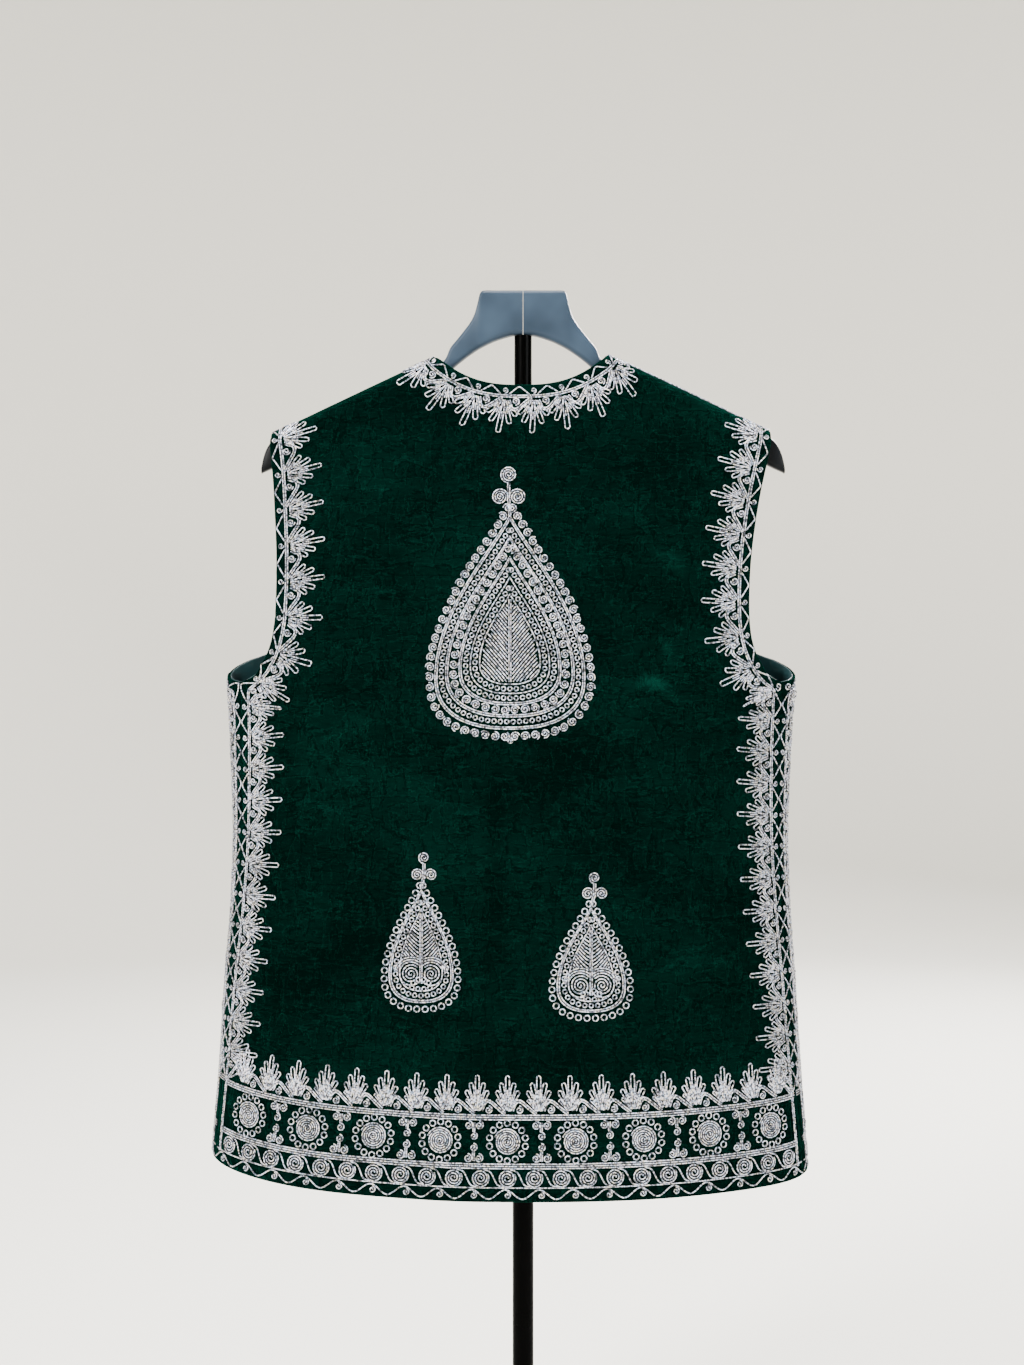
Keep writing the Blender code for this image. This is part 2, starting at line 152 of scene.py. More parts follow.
# ---- creases in the velvet: along, level, half length, half width, lean (degrees), height ----
BACK_CREASES = (
    (0.0820, 0.6100, 0.210, 0.0042, 91.0, 0.0010),
    (0.0100, 0.5900, 0.250, 0.0030, 89.5, -0.0010),
    (-0.0110, 0.6000, 0.240, 0.0034, 90.5, 0.0009),
    (0.1550, 0.6080, 0.045, 0.0042, 10.0, 0.0013),
    (0.0450, 0.9550, 0.034, 0.0030, 84.0, 0.0009),
    (0.0620, 0.9450, 0.026, 0.0028, 76.0, -0.0008),
    (0.1050, 0.7050, 0.085, 0.0070, 12.0, -0.0016),
    (0.1400, 0.6750, 0.070, 0.0060, 20.0, 0.0015),
    (0.1250, 0.6400, 0.060, 0.0050, 8.0, -0.0012),
    (-0.0600, 0.6750, 0.080, 0.0048, -6.0, 0.0012),
    (-0.1500, 0.6900, 0.060, 0.0052, -14.0, -0.0012),
    (-0.1450, 0.7700, 0.042, 0.0060, 24.0, 0.0010),
    (-0.1700, 0.8150, 0.036, 0.0060, 62.0, 0.0010),
    (0.1300, 0.5650, 0.065, 0.0060, 18.0, 0.0012),
    (0.1500, 0.7800, 0.060, 0.0055, -8.0, -0.0012),
    (-0.1250, 0.5500, 0.055, 0.0050, -10.0, 0.0012),
    (-0.1000, 0.9100, 0.050, 0.0052, 20.0, -0.0008),
    (0.1000, 0.9000, 0.060, 0.0050, -16.0, 0.0009),
)
FRONT_CREASES = (
    (-0.1050, 0.6900, 0.080, 0.0070, -14.0, 0.0016),
    (-0.1500, 0.7200, 0.060, 0.0060, -24.0, -0.0016),
    (-0.0700, 0.5900, 0.070, 0.0060, 8.0, 0.0012),
    (-0.1300, 0.5500, 0.060, 0.0055, -10.0, -0.0012),
    (-0.1450, 0.8700, 0.055, 0.0065, 62.0, 0.0016),
    (0.0950, 0.7050, 0.075, 0.0065, 12.0, 0.0016),
    (0.1480, 0.7350, 0.060, 0.0065, 28.0, -0.0014),
    (0.0800, 0.6150, 0.060, 0.0055, -6.0, -0.0012),
    (0.1250, 0.5350, 0.065, 0.0060, 12.0, 0.0012),
    (0.1400, 0.8650, 0.055, 0.0065, -58.0, -0.0014),
)

# ---- lighter and darker patches of the pile, some from crushed pile and some painted sheen: along, level, half length, half width, lean (degrees), how light ----
BACK_PILE_AND_SHEEN = (
    # these two: crushed pile with a painted highlight
    (-0.1190, 0.7870, 0.013, 0.0045, 12.0, 1.5),
    (-0.1290, 0.8150, 0.011, 0.0035, 70.0, 0.8),
    (-0.1300, 0.8900, 0.012, 0.0060, 30.0, 0.5),
    # painted sheen along the fold from the armhole
    (0.1100, 0.7100, 0.050, 0.0120, 10.0, 0.22),
    (0.0650, 0.6350, 0.008, 0.0120, 0.0, 0.35),
    (-0.0900, 0.9300, 0.030, 0.0200, 20.0, 0.2),
    (0.0500, 0.8900, 0.030, 0.0500, 0.0, 0.15),
    (-0.1500, 0.5600, 0.030, 0.0150, -10.0, 0.4),
    (0.1300, 0.5700, 0.045, 0.0220, -12.0, -0.35),
    (0.1350, 0.7500, 0.040, 0.0100, -30.0, 0.30),
    (-0.0900, 0.7000, 0.070, 0.0090, -8.0, 0.22),
    (0.0120, 0.6400, 0.008, 0.0900, 0.0, -0.18),
    (-0.0950, 0.5650, 0.050, 0.0160, 6.0, -0.25),
)
FRONT_PILE = (
    (-0.1200, 0.7600, 0.030, 0.0100, 20.0, 0.7),
    (0.1150, 0.8300, 0.026, 0.0100, -24.0, 0.7),
    (0.1000, 0.5600, 0.050, 0.0130, 8.0, 0.5),
    (-0.0900, 0.5000, 0.040, 0.0140, -6.0, 0.4),
)

RIDGE_PAINTED_SHEEN = 0.7  # how much lighter the pile is painted along the shoulder ridge, as a painted sheen
RIDGE_PAINTED_SHEEN_RUN = 0.009
WRINKLES = (  # how many; level, half length, half width, lean (degrees) and its spread, height
    (300, (0.40, 1.02), (0.012, 0.040), (0.0018, 0.0034), (0.0, 14.0), (-0.00080, 0.00105)),
    (50, (0.42, 1.00), (0.015, 0.045), (0.0020, 0.0040), (88.0, 8.0), (-0.00070, 0.00090)),
)
WRINKLE_REACH = 0.30

# ---- the three teardrops on the back ----
TEARDROPS = (  # name, middle, foot, top of the body, half width, lean of the finial
    ("large", 0.0111, 0.7385, 0.9357, 0.0705, 1.0),
    ("small_left", 0.0835, 0.5176, 0.6236, 0.0326, -2.2),
    ("small_right", -0.0550, 0.5110, 0.6090, 0.0346, -3.0),
)
BELLY_SHARE = 0.764
SIDE_CURVE = 1.12
FOOT_CURVE = 2.4
LARGE_ROWS = (  # kind, apex, foot and half width in millimetres from the foot's middle
    ("disc", 197.2, 4.1, 66.4),
    ("line", 187.5, 10.2, 61.6),
    ("line", 184.6, 11.8, 60.0),
    ("ring", 176.9, 16.3, 56.4),
    ("line", 169.9, 20.2, 52.8),
    ("line", 167.9, 21.8, 51.2),
    ("disc", 162.8, 25.8, 46.4),
    ("line", 152.8, 30.2, 41.8),
    ("line", 150.8, 31.8, 40.2),
    ("ring", 143.8, 35.6, 36.4),
    ("line", 135.8, 39.4, 32.6),
    ("ring", 128.5, 43.2, 28.8),
    ("line", 121.6, 47.0, 24.9),
)
SMALL_ROWS = (  # kind, then apex, foot and half width as shares of the body's height and half width
    ("bead", 1.005, 0.030, 0.925),
    ("line", 0.945, 0.082, 0.800),
    ("line", 0.928, 0.097, 0.750),
    ("ring", 0.868, 0.134, 0.640),
    ("line", 0.800, 0.170, 0.535),
)

# ---- the stand, as in the CAD ----
HANGER_SECTIONS = (  # reach from the middle, top, bottom, half thickness
    (0.0002, 1.1200, 1.0817, 0.0070),
    (0.0090, 1.1200, 1.0817, 0.0070),
    (0.0240, 1.1200, 1.0772, 0.0070),
    (0.0330, 1.1200, 1.0730, 0.0070),
    (0.0356, 1.1190, 1.0716, 0.0070),
    (0.0372, 1.1160, 1.0707, 0.0070),
    (0.0388, 1.1090, 1.0697, 0.0070),
    (0.0413, 1.1000, 1.0681, 0.0069),
    (0.0450, 1.0928, 1.0655, 0.0068),
    (0.0500, 1.0860, 1.0618, 0.0067),
    (0.0560, 1.0785, 1.0569, 0.0066),
    (0.0620, 1.0710, 1.0516, 0.0065),
    (0.0650, 1.0640, 1.0494, 0.0062),
    (0.0682, 1.0592, 1.0471, 0.0060),
    (0.0740, 1.0562, 1.0434, 0.0060),
    (0.1150, 1.0395, 1.0205, 0.0065),
    (0.1600, 1.0184, 0.9976, 0.0065),
    (0.2030, 0.9978, 0.9742, 0.0065),
    (0.2125, 0.9930, 0.9692, 0.0064),
    (0.2165, 0.9880, 0.9674, 0.0062),
    (0.2192, 0.9825, 0.9662, 0.0058),
    (0.2210, 0.9765, 0.9654, 0.0053),
    (0.2222, 0.9700, 0.9648, 0.0046),
)
HANGER_EDGE = 0.0048
UPPER_POLE_RADIUS = 0.0074
LOWER_POLE_RADIUS = 0.0089
POLE_TOP = HANGER_SECTIONS[0][2] - GAP
POLE_JOINT = 0.620
COLLAR_RADIUS = 0.0125
COLLAR_HEIGHT = 0.030
BASE_RADIUS = 0.150
BASE_THICK = 0.012
BASE_BOSS_RADIUS = 0.019
BASE_TOP = 0.024
POLE_SIDES = 64
BASE_SIDES = 128

MM = 0.001
SIDES = ((1, "left"), (-1, "right"))
SIDE_RISE = UNDERARM - HEM_BACK  # the length of a side's border below the armhole
NECK_PALMETTES = 8


# ---- the form ----


def smooth_rows(table, at):
    """A table's other columns at many values of its first, on a smooth curve through its rows."""
    rows = np.array(table)
    key = rows[:, 0]
    here = np.clip(np.searchsorted(key, at, side="right") - 1, 0, len(key) - 2)
    before = np.maximum(here - 1, 0)
    after = np.minimum(here + 2, len(key) - 1)
    width = (key[here + 1] - key[here])[:, None]
    share = (at - key[here])[:, None] / width
    low = rows[here, 1:]
    high = rows[here + 1, 1:]
    rise_low = (high - rows[before, 1:]) / (key[here + 1] - key[before])[:, None] * width
    rise_high = (rows[after, 1:] - low) / (key[after] - key[here])[:, None] * width
    return (
        (2 * share**3 - 3 * share**2 + 1) * low
        + (share**3 - 2 * share**2 + share) * rise_low
        + (3 * share**2 - 2 * share**3) * high
        + (share**3 - share**2) * rise_high
    )


def flattened(wave):
    """A sine or cosine made a little squarer, so that the form is flatter across the back."""
    return ((1 + 3 * SQUARENESS) * wave - 4 * SQUARENESS * wave**3) / (1 - SQUARENESS)


def ridge(across):
    """The level of the shoulder ridge at a distance from the stand's middle."""
    reach = np.hypot(across, RIDGE_EASE) - math.hypot(NECK_POINT, RIDGE_EASE)
    return NECK_POINT_LEVEL - SHOULDER_SLOPE * reach


def ease(share):
    """A smooth step from 0 to 1."""
    share = np.clip(share, 0.0, 1.0)
    return share * share * (3 - 2 * share)


def folds(angle, level):
    """The largest folds at a place, as a share of the fullness there."""
    degrees = (np.degrees(angle) + 180) % 360 - 180
    total = sum(
        depth * np.exp(-(((degrees - middle) / spread) ** 2)) for middle, spread, depth in FOLDS
    )
    return total * ease((FOLDS_FROM - level) / (FOLDS_FROM - FOLDS_FULL))


def form(angle, run):
    """Points on the cloth's outer face."""
    turn = np.minimum(run / RIDGE_RADIUS, math.pi / 2)
    beyond = np.maximum(run - RIDGE_RADIUS * math.pi / 2, 0.0)
    drop = RIDGE_RADIUS * (1 - np.cos(turn)) + beyond
    across = flattened(np.sin(angle))
    deep = flattened(np.cos(angle))
    level = ridge(SHOULDER_SHIFT + SHOULDER_HALF * across) - drop
    half_width, shift = smooth_rows(SECTIONS, level).T
    side = np.copysign(1.0, np.cos(angle))
    fullness = np.where(side > 0, BACK_FULLNESS, FRONT_FULLNESS)
    grown = fullness * (1 - np.exp(-(drop**2) / (FULL_BY * (drop + FULL_EASE))))
    over_arm = np.maximum(0.0, 1 - drop / ARM_FADE) ** 2
    turned = RIDGE_RADIUS * np.sin(turn) * (over_arm * side + (1 - over_arm) * deep)
    depth = turned + grown * deep * (1 + folds(angle, level))
    return np.stack((shift + half_width * across, depth, level), axis=1)


def facing(angle, run):
    """The form's outward direction at many places."""
    step = 0.0005
    across = form(angle + step, run) - form(angle - step, run)
    down = form(angle, run + step) - form(angle, run - step)
    out = np.cross(across, down)
    return out / np.linalg.norm(out, axis=1)[:, None]


def turn_over(angle):
    """The level that a run of 0 would have if the cloth hung straight from the ridge."""
    middle = SHOULDER_SHIFT + SHOULDER_HALF * flattened(np.sin(angle))
    return ridge(middle) + (math.pi / 2 - 1) * RIDGE_RADIUS


def run_at(angle, level):
    """The run down the cloth to a level."""
    middle = SHOULDER_SHIFT + SHOULDER_HALF * flattened(np.sin(angle))
    drop = np.maximum(ridge(middle) - level, 0.0)
    near = RIDGE_RADIUS * np.arccos(1 - np.minimum(drop / RIDGE_RADIUS, 1.0))
    return np.where(drop < RIDGE_RADIUS, near, drop - RIDGE_RADIUS + RIDGE_RADIUS * math.pi / 2)


def angle_at(half, level):
    """The angle, in the back's quarter, at a distance from the form's middle."""
    waves = np.linspace(0.0, 1.0, 2001)
    share = half / smooth_rows(SECTIONS, np.atleast_1d(level))[:, 0]
    return np.arcsin(np.interp(share, flattened(waves), waves))


def hem_level(angle):
    """The level of the hem: lowest at the centre back, higher at the sides and fronts."""
    side = np.where(angle > 0, HEM_LEFT, HEM_RIGHT)
    return HEM_BACK + (side - HEM_BACK) * ease(np.abs(np.sin(angle / 2)) * 1.25)


def neck_level(angle):
    """The level of the back neckline, or of the ridge beyond it."""
    across = SHOULDER_HALF * np.abs(flattened(np.sin(angle)))
    rise = np.minimum(across / NECK_POINT, 1.0) ** NECK_CURVE
    neck = NECK_DEPTH_LEVEL + (NECK_POINT_LEVEL - NECK_DEPTH_LEVEL) * rise
    beyond = ridge(SHOULDER_SHIFT + np.copysign(across, angle))
    return np.where(across >= NECK_POINT, beyond, neck)


def front_edge(level):
    """Half the distance between the front edges at a level: V neck, then straight edges."""
    up = np.clip((level - V_POINT) / (NECK_POINT_LEVEL - V_POINT), 0.0, 1.0)
    neck = FRONT_EDGE_TOP + (NECK_POINT - FRONT_EDGE_TOP) * up**V_CURVE
    down = (V_POINT - level) / (V_POINT - HEM_BACK)
    below = FRONT_EDGE_TOP + (FRONT_EDGE_HEM - FRONT_EDGE_TOP) * down
    return np.where(level > V_POINT, neck, below)


def seam_angle():
    """The angle of the side seam."""
    half = SEAM_HALF * smooth_rows(SECTIONS, np.array([UNDERARM]))[0, 0]
    return angle_at(half, UNDERARM)[0]


# ---- the panels: where a share across and a rise from hem (0) to underarm (1) to ridge (2) lie ----


def armhole_angle(rows, lowest_run, lowest_angle, run, front):
    """The armhole edge's angle at a run down from the shoulder seam."""
    table = [(SEAM_RUN - 0.004, angle_at(rows[-1][1], ridge(rows[-1][1]))[0])]
    for down, half in reversed(rows):
        table.append((down, angle_at(half, ridge(half) - down)[0]))
    if front:
        table = [(down, math.pi - angle) for down, angle in table]
    table.append((lowest_run, lowest_angle))
    return smooth_rows(table, run)[:, 0]


def seam_swing(side, rise):
    """How much further round than at the underarm a side seam is."""
    return np.where(np.asarray(side) > 0, *SEAM_SWING) * ease(1.0 - rise) ** 0.8


def back_place(share, rise):
    """Places on the back panel; share is -1 at the right seam and 1 at the left."""
    side = seam_angle() - SEAM_PART
    low_angle = share * (side + seam_swing(share, rise))
    hem = hem_level(low_angle)
    low_run = run_at(low_angle, hem + np.minimum(rise, 1.0) * (UNDERARM - hem))
    left = np.clip(2 - rise, 0.0, 1.0)
    down = SEAM_RUN + left * (BACK_UNDERARM_RUN - SEAM_RUN)
    edge = armhole_angle(BACK_ARMHOLE, BACK_UNDERARM_RUN, side, down, False)
    near = (LEFT_EASE_SPREAD - np.abs(down - LEFT_EASE_RUN)) / LEFT_EASE_SPREAD
    edge = edge + np.where(share > 0, LEFT_EASE * ease(near), 0.0)
    angle = share * edge
    top = np.maximum(run_at(angle, neck_level(angle)), SEAM_RUN)
    foot = run_at(angle, UNDERARM)
    upper = rise > 1
    return np.where(upper, angle, low_angle), np.where(upper, top + left * (foot - top), low_run)


def front_place(side, share, rise):
    """Places on a front; share is -1 at the side seam, 0 at the armpit and 1 at the front edge."""
    seam = seam_angle() + SEAM_PART
    armpit = math.pi - angle_at(FRONT_UNDERARM_HALF, FRONT_UNDERARM)[0]
    under = share <= 0
    beside = np.clip(share + 1, 0.0, 1.0)
    across = np.clip(share, 0.0, 1.0)
    low = np.minimum(rise, 1.0)
    top = np.where(under, UNDERARM + (FRONT_UNDERARM - UNDERARM) * beside**1.5, FRONT_UNDERARM)
    level = HEM_BACK + low * (top - HEM_BACK)
    edge = math.pi - angle_at(front_edge(level), level)
    low_seam = seam + seam_swing(side, rise)
    low_angle = np.where(
        under, low_seam + (armpit - low_seam) * beside, armpit + (edge - armpit) * across
    )
    hem = hem_level(side * low_angle)
    low_run = run_at(side * low_angle, hem + low * (top - hem))
    left = np.clip(2 - rise, 0.0, 1.0)
    down = SEAM_RUN + left * (FRONT_UNDERARM_RUN - SEAM_RUN)
    outer = armhole_angle(FRONT_ARMHOLE, FRONT_UNDERARM_RUN, armpit, down, True)
    level = FRONT_UNDERARM + (NECK_POINT_LEVEL - FRONT_UNDERARM) * (1 - left)
    inner = math.pi - angle_at(front_edge(level), level)
    angle = outer + (inner - outer) * across
    foot = run_at(side * angle, FRONT_UNDERARM)
    upper = rise > 1
    return (
        side * np.where(upper, angle, low_angle),
        np.where(upper, SEAM_RUN + left * (foot - SEAM_RUN), low_run),
    )


# ---- the flat cloth ----

FLAT_ROW = 0.005  # between the levels at which the cloth's lengths are measured


def own_places(rows, along, level):
    """Places in each crease's or patch's own lengths and widths, with its last value."""
    for middle, height, length, width, lean, amount in rows:
        turn = math.radians(lean)
        dx = along - middle
        dy = level - height
        ahead = (dx * math.cos(turn) + dy * math.sin(turn)) / length
        aside = (dy * math.cos(turn) - dx * math.sin(turn)) / width
        yield ahead, aside, amount


class Flat:
    """The cloth rolled out flat: distance along from a middle angle, and level on the drop."""

    def __init__(self, middle, creases, pile, seed):
        self.middle = middle
        self.creases = creases + small_wrinkles(seed)
        self.pile = pile
        self.angles = np.radians(np.linspace(-125.0, 125.0, 501))
        self.levels = np.arange(0.330, 1.095, FLAT_ROW)
        angle, level = np.meshgrid(self.angles + middle, self.levels)
        run = np.maximum(turn_over(angle) - level, 0.02)
        points = form(angle.ravel(), run.ravel()).reshape(*angle.shape, 3)
        steps = np.linalg.norm(np.diff(points, axis=1), axis=2)
        along = np.concatenate((np.zeros((len(steps), 1)), np.cumsum(steps, axis=1)), axis=1)
        centre = len(self.angles) // 2
        self.along = along - along[:, centre : centre + 1]

    def rows(self, level):
        """The table's row below each level, and the share of the way to the next one."""
        row = np.clip((level - self.levels[0]) / FLAT_ROW, 0.0, len(self.levels) - 1.001)
        low = row.astype(int)
        return low, row - low

    def rolled(self, angle, run):
        """Flat places of (angle, run) places."""
        level = turn_over(angle) - run
        turn = (angle - self.middle + math.pi) % (2 * math.pi) - math.pi
        step = self.angles[1] - self.angles[0]
        column = np.clip((turn - self.angles[0]) / step, 0.0, len(self.angles) - 1.001)
        left = column.astype(int)
        across = column - left
        low, up = self.rows(level)
        first = self.along[low, left] * (1 - across) + self.along[low, left + 1] * across
        second = self.along[low + 1, left] * (1 - across) + self.along[low + 1, left + 1] * across
        return first + (second - first) * up, level

    def unrolled(self, along, level):
        """(angle, run) places of flat ones."""
        low, up = self.rows(level)
        turn = np.empty(len(along))
        for k in np.unique(low):
            here = low == k
            first = np.interp(along[here], self.along[k], self.angles)
            second = np.interp(along[here], self.along[k + 1], self.angles)
            turn[here] = first + (second - first) * up[here]
        angle = turn + self.middle
        return angle, turn_over(angle) - level

    def lift(self, along, level):
        """How far the creases move the cloth out."""
        total = np.zeros(len(along))
        for u, w, rise in own_places(self.creases, along, level):
            w = w + 0.9 * u * u - 0.3 * np.sin(3 * u)
            total += rise * np.exp(-(u**2) - w**2) * (1 - 0.7 * w * w)
        return total

    def lightness(self, along, level):
        """How much lighter the velvet is painted: patches of crushed pile and painted sheen, and a
        painted highlight where the creases lift the cloth.
        """
        total = np.zeros(len(along))
        for u, w, light in own_places(self.pile, along, level):
            total += light * np.exp(-(u**2) - (w + 0.5 * u * u) ** 2)
        # painted highlight: lighter where a crease lifts the cloth out
        return total + 0.12 * np.clip(self.lift(along, level) / 0.0012, 0.0, 1.0)

    def laid(self, angle, run, out):
        """Points on the creased cloth, moved out along its normal."""
        along, level = self.rolled(angle, run)
        return form(angle, run) + (out + self.lift(along, level))[:, None] * facing(angle, run)


def small_wrinkles(seed):
    """Many short, shallow wrinkles, as velvet gets where it has lain folded."""
    source = np.random.default_rng(seed)
    return tuple(
        (
            source.uniform(-WRINKLE_REACH, WRINKLE_REACH),
            source.uniform(*level),
            source.uniform(*length),
            source.uniform(*width),
            source.normal(*lean),
            source.uniform(*rise),
        )
        for count, level, length, width, lean, rise in WRINKLES
        for _ in range(count)
    )


BACK = Flat(0.0, BACK_CREASES, BACK_PILE_AND_SHEEN, 11)
FRONT = Flat(math.pi, FRONT_CREASES, FRONT_PILE, 23)


# ---- node helpers ----


def tree_nodes(tree, *rows):
    """Nodes added to a tree, from (name, type, settings) rows."""
    made = {}
    for name, kind, settings in rows:
        node = tree.nodes.new(kind)
        for key, value in settings.items():
            if isinstance(key, int) or key[0].isupper():
                node.inputs[key].default_value = value
            else:
                setattr(node, key, value)
        made[name] = node
    return made


def wire(tree, nodes, *links):
    """Links nodes, from texts like "noise.Fac > ramp.Fac", in which a socket may be a number."""
    for text in links:
        ends = []
        for end in text.split(" > "):
            name, _, socket = end.partition(".")
            ends.append((nodes[name], int(socket) if socket.isdigit() else socket))
        (source, way_out), (target, way_in) = ends
        tree.links.new(source.outputs[way_out], target.inputs[way_in])


def new_material(name, finish, *rows):
    """A material with a Principled shader, its plain values set, and more nodes from rows."""
    material = bpy.data.materials.new(name)
    material.use_nodes = True
    tree = material.node_tree
    nodes = tree_nodes(tree, *rows)
    nodes["shader"] = tree.nodes["Principled BSDF"]
    for key, value in finish.items():
        nodes["shader"].inputs[key].default_value = value
    return material, tree, nodes


def ramp(node, *stops):
    """Sets a colour ramp's stops."""
    elements = node.color_ramp.elements
    while len(elements) < len(stops):
        elements.new(0.5)
    for element, (place, colour) in zip(elements, stops):
        element.position = place
        element.color = (*colour, 1.0)


def mottled(node, colour, low, high):
    """Sets a ramp that varies a colour between a darker and a lighter share of it."""
    ramp(node, (0.3, tuple(low * c for c in colour)), (0.7, tuple(high * c for c in colour)))


# ---- materials ----


def velvet_material(settings):
    """Cotton velvet: dark pile with lighter places, partly crushed pile and partly painted sheen, fine
    level wrinkles with painted lit and shaded sides, and sheen.
    """
    material, tree, n = new_material(
        "green_velvet",
        {
            "Sheen Weight": settings.sheen,
            "Sheen Roughness": 0.26,
            "Sheen Tint": (0.01, 0.20, 0.13, 1.0),
            "Specular IOR Level": 0.0,
        },
        ("uv", "ShaderNodeUVMap", {"uv_map": "flat"}),
        # pile: crushed pile together with painted sheen and painted highlights, from the mesh
        ("pile", "ShaderNodeAttribute", {"attribute_name": "pile"}),
        ("wide", "ShaderNodeMapping", {"Scale": (7.0, 12.0, 1.0)}),
        ("broad", "ShaderNodeTexNoise", {"Scale": 1.0, "Detail": 3.0, "Roughness": 0.6}),
        ("flat", "ShaderNodeMapping", {"Scale": (95.0, 430.0, 1.0)}),
        ("streaks", "ShaderNodeTexNoise", {"Scale": 1.0, "Detail": 4.0, "Roughness": 0.62}),
        ("fine", "ShaderNodeTexNoise", {"Scale": 1500.0, "Detail": 2.0}),
        ("sum", "ShaderNodeMath", {"operation": "MULTIPLY_ADD", 1: 0.50}),
        ("speckle", "ShaderNodeMath", {"operation": "MULTIPLY_ADD", 1: 0.22}),
        ("light", "ShaderNodeMath", {"operation": "MULTIPLY_ADD", 1: 0.75}),
        ("share", "ShaderNodeMapRange", {"From Min": 0.66, "From Max": 1.94}),
        ("ramp", "ShaderNodeValToRGB", {}),
        ("rough", "ShaderNodeMapRange", {"To Min": 0.85, "To Max": 0.55}),
        ("tall", "ShaderNodeMapping", {"Scale": (130.0, 330.0, 1.0)}),
        ("crinkle", "ShaderNodeTexNoise", {"Scale": 1.0, "Detail": 2.0, "Roughness": 0.5}),
        ("lying", "ShaderNodeMapping", {"Scale": (24.0, 96.0, 1.0)}),
        ("ridges", "ShaderNodeTexNoise", {"Scale": 1.0, "Detail": 4.0, "Roughness": 0.6}),
        ("level_lines", "ShaderNodeValToRGB", {}),
        ("hanging", "ShaderNodeMapping", {"Scale": (95.0, 30.0, 1.0)}),
        ("pleats", "ShaderNodeTexNoise", {"Scale": 1.0, "Detail": 4.0, "Roughness": 0.6}),
        ("upright_lines", "ShaderNodeValToRGB", {}),
        ("both", "ShaderNodeMath", {"operation": "ADD"}),
        ("sharp", "ShaderNodeMapRange", {"From Max": 2.0, "To Min": -0.80, "To Max": 0.80}),
        ("opened", "ShaderNodeMath", {"operation": "ADD"}),
        ("folds", "ShaderNodeMath", {"operation": "MULTIPLY_ADD", 1: 0.45}),
        ("creases", "ShaderNodeBump", {"Strength": 0.85, "Distance": 0.0018}),
        ("nap", "ShaderNodeBump", {"Strength": 0.35, "Distance": 0.0005}),
    )
    # painted light and shade: each fine wrinkle line is painted with a dark side and a lit side in the
    # velvet's colour, on top of its bump
    flat_tone, dark_side, lit_side = ((tone, tone, tone) for tone in (0.5, 0.05, 1.0))
    for lines in ("level_lines", "upright_lines"):
        stops = ((0.455, flat_tone), (0.482, dark_side), (0.505, lit_side), (0.535, flat_tone))
        ramp(n[lines], *stops)
    dark = tuple(settings.velvet_dark)
    lit = tuple(settings.velvet_light)
    between = tuple(0.72 * a + 0.28 * b for a, b in zip(dark, lit))
    ramp(n["ramp"], (0.0, dark), (0.32, between), (1.0, lit))
    for name in ("wide", "flat", "tall", "fine", "lying", "hanging"):
        wire(tree, n, f"uv.0 > {name}.Vector")
    wire(
        tree, n,
        "wide.0 > broad.Vector", "flat.0 > streaks.Vector", "tall.0 > crinkle.Vector",
        "lying.0 > ridges.Vector", "hanging.0 > pleats.Vector",
        "ridges.0 > level_lines.Fac", "level_lines.0 > both.0",
        "pleats.0 > upright_lines.Fac", "upright_lines.0 > both.1",
        "both.0 > folds.0", "crinkle.0 > folds.2", "folds.0 > creases.Height",
        "streaks.0 > sum.0", "broad.0 > sum.2", "fine.0 > speckle.0", "sum.0 > speckle.2",
        "pile.Fac > light.0", "speckle.0 > light.2", "both.0 > sharp.Value",
        "sharp.0 > opened.0", "light.0 > opened.1", "opened.0 > share.Value",
        "share.0 > ramp.Fac", "ramp.0 > shader.Base Color",
        "share.0 > rough.Value", "rough.0 > shader.Roughness",
        "fine.0 > nap.Height", "creases.0 > nap.Normal", "nap.0 > shader.Normal",
    )
    return material


def lining_material(settings):
    """Thin satin lining: teal, with a fine weave, soft wrinkles and a low shine."""
    material, tree, n = new_material(
        "teal_lining",
        {"Roughness": 0.42, "Sheen Weight": 0.06, "Specular IOR Level": 0.25, "Anisotropic": 0.35},
        ("uv", "ShaderNodeUVMap", {"uv_map": "flat"}),
        ("weave", "ShaderNodeTexWave", {"Scale": 380.0, "Distortion": 0.6, "Detail": 1.0}),
        ("wide", "ShaderNodeMapping", {"Scale": (16.0, 45.0, 1.0)}),
        ("cloud", "ShaderNodeTexNoise", {"Scale": 1.0, "Detail": 3.0}),
        ("ramp", "ShaderNodeValToRGB", {}),
        ("soft", "ShaderNodeBump", {"Strength": 0.5, "Distance": 0.003}),
        ("thread", "ShaderNodeBump", {"Strength": 0.2, "Distance": 0.0002}),
    )
    mottled(n["ramp"], settings.lining, 0.6, 1.25)
    wire(
        tree, n,
        "uv.0 > weave.Vector", "uv.0 > wide.Vector", "wide.0 > cloud.Vector",
        "cloud.0 > ramp.Fac", "ramp.0 > shader.Base Color", "cloud.0 > soft.Height",
        "weave.Fac > thread.Height", "soft.0 > thread.Normal", "thread.0 > shader.Normal",
    )
    return material


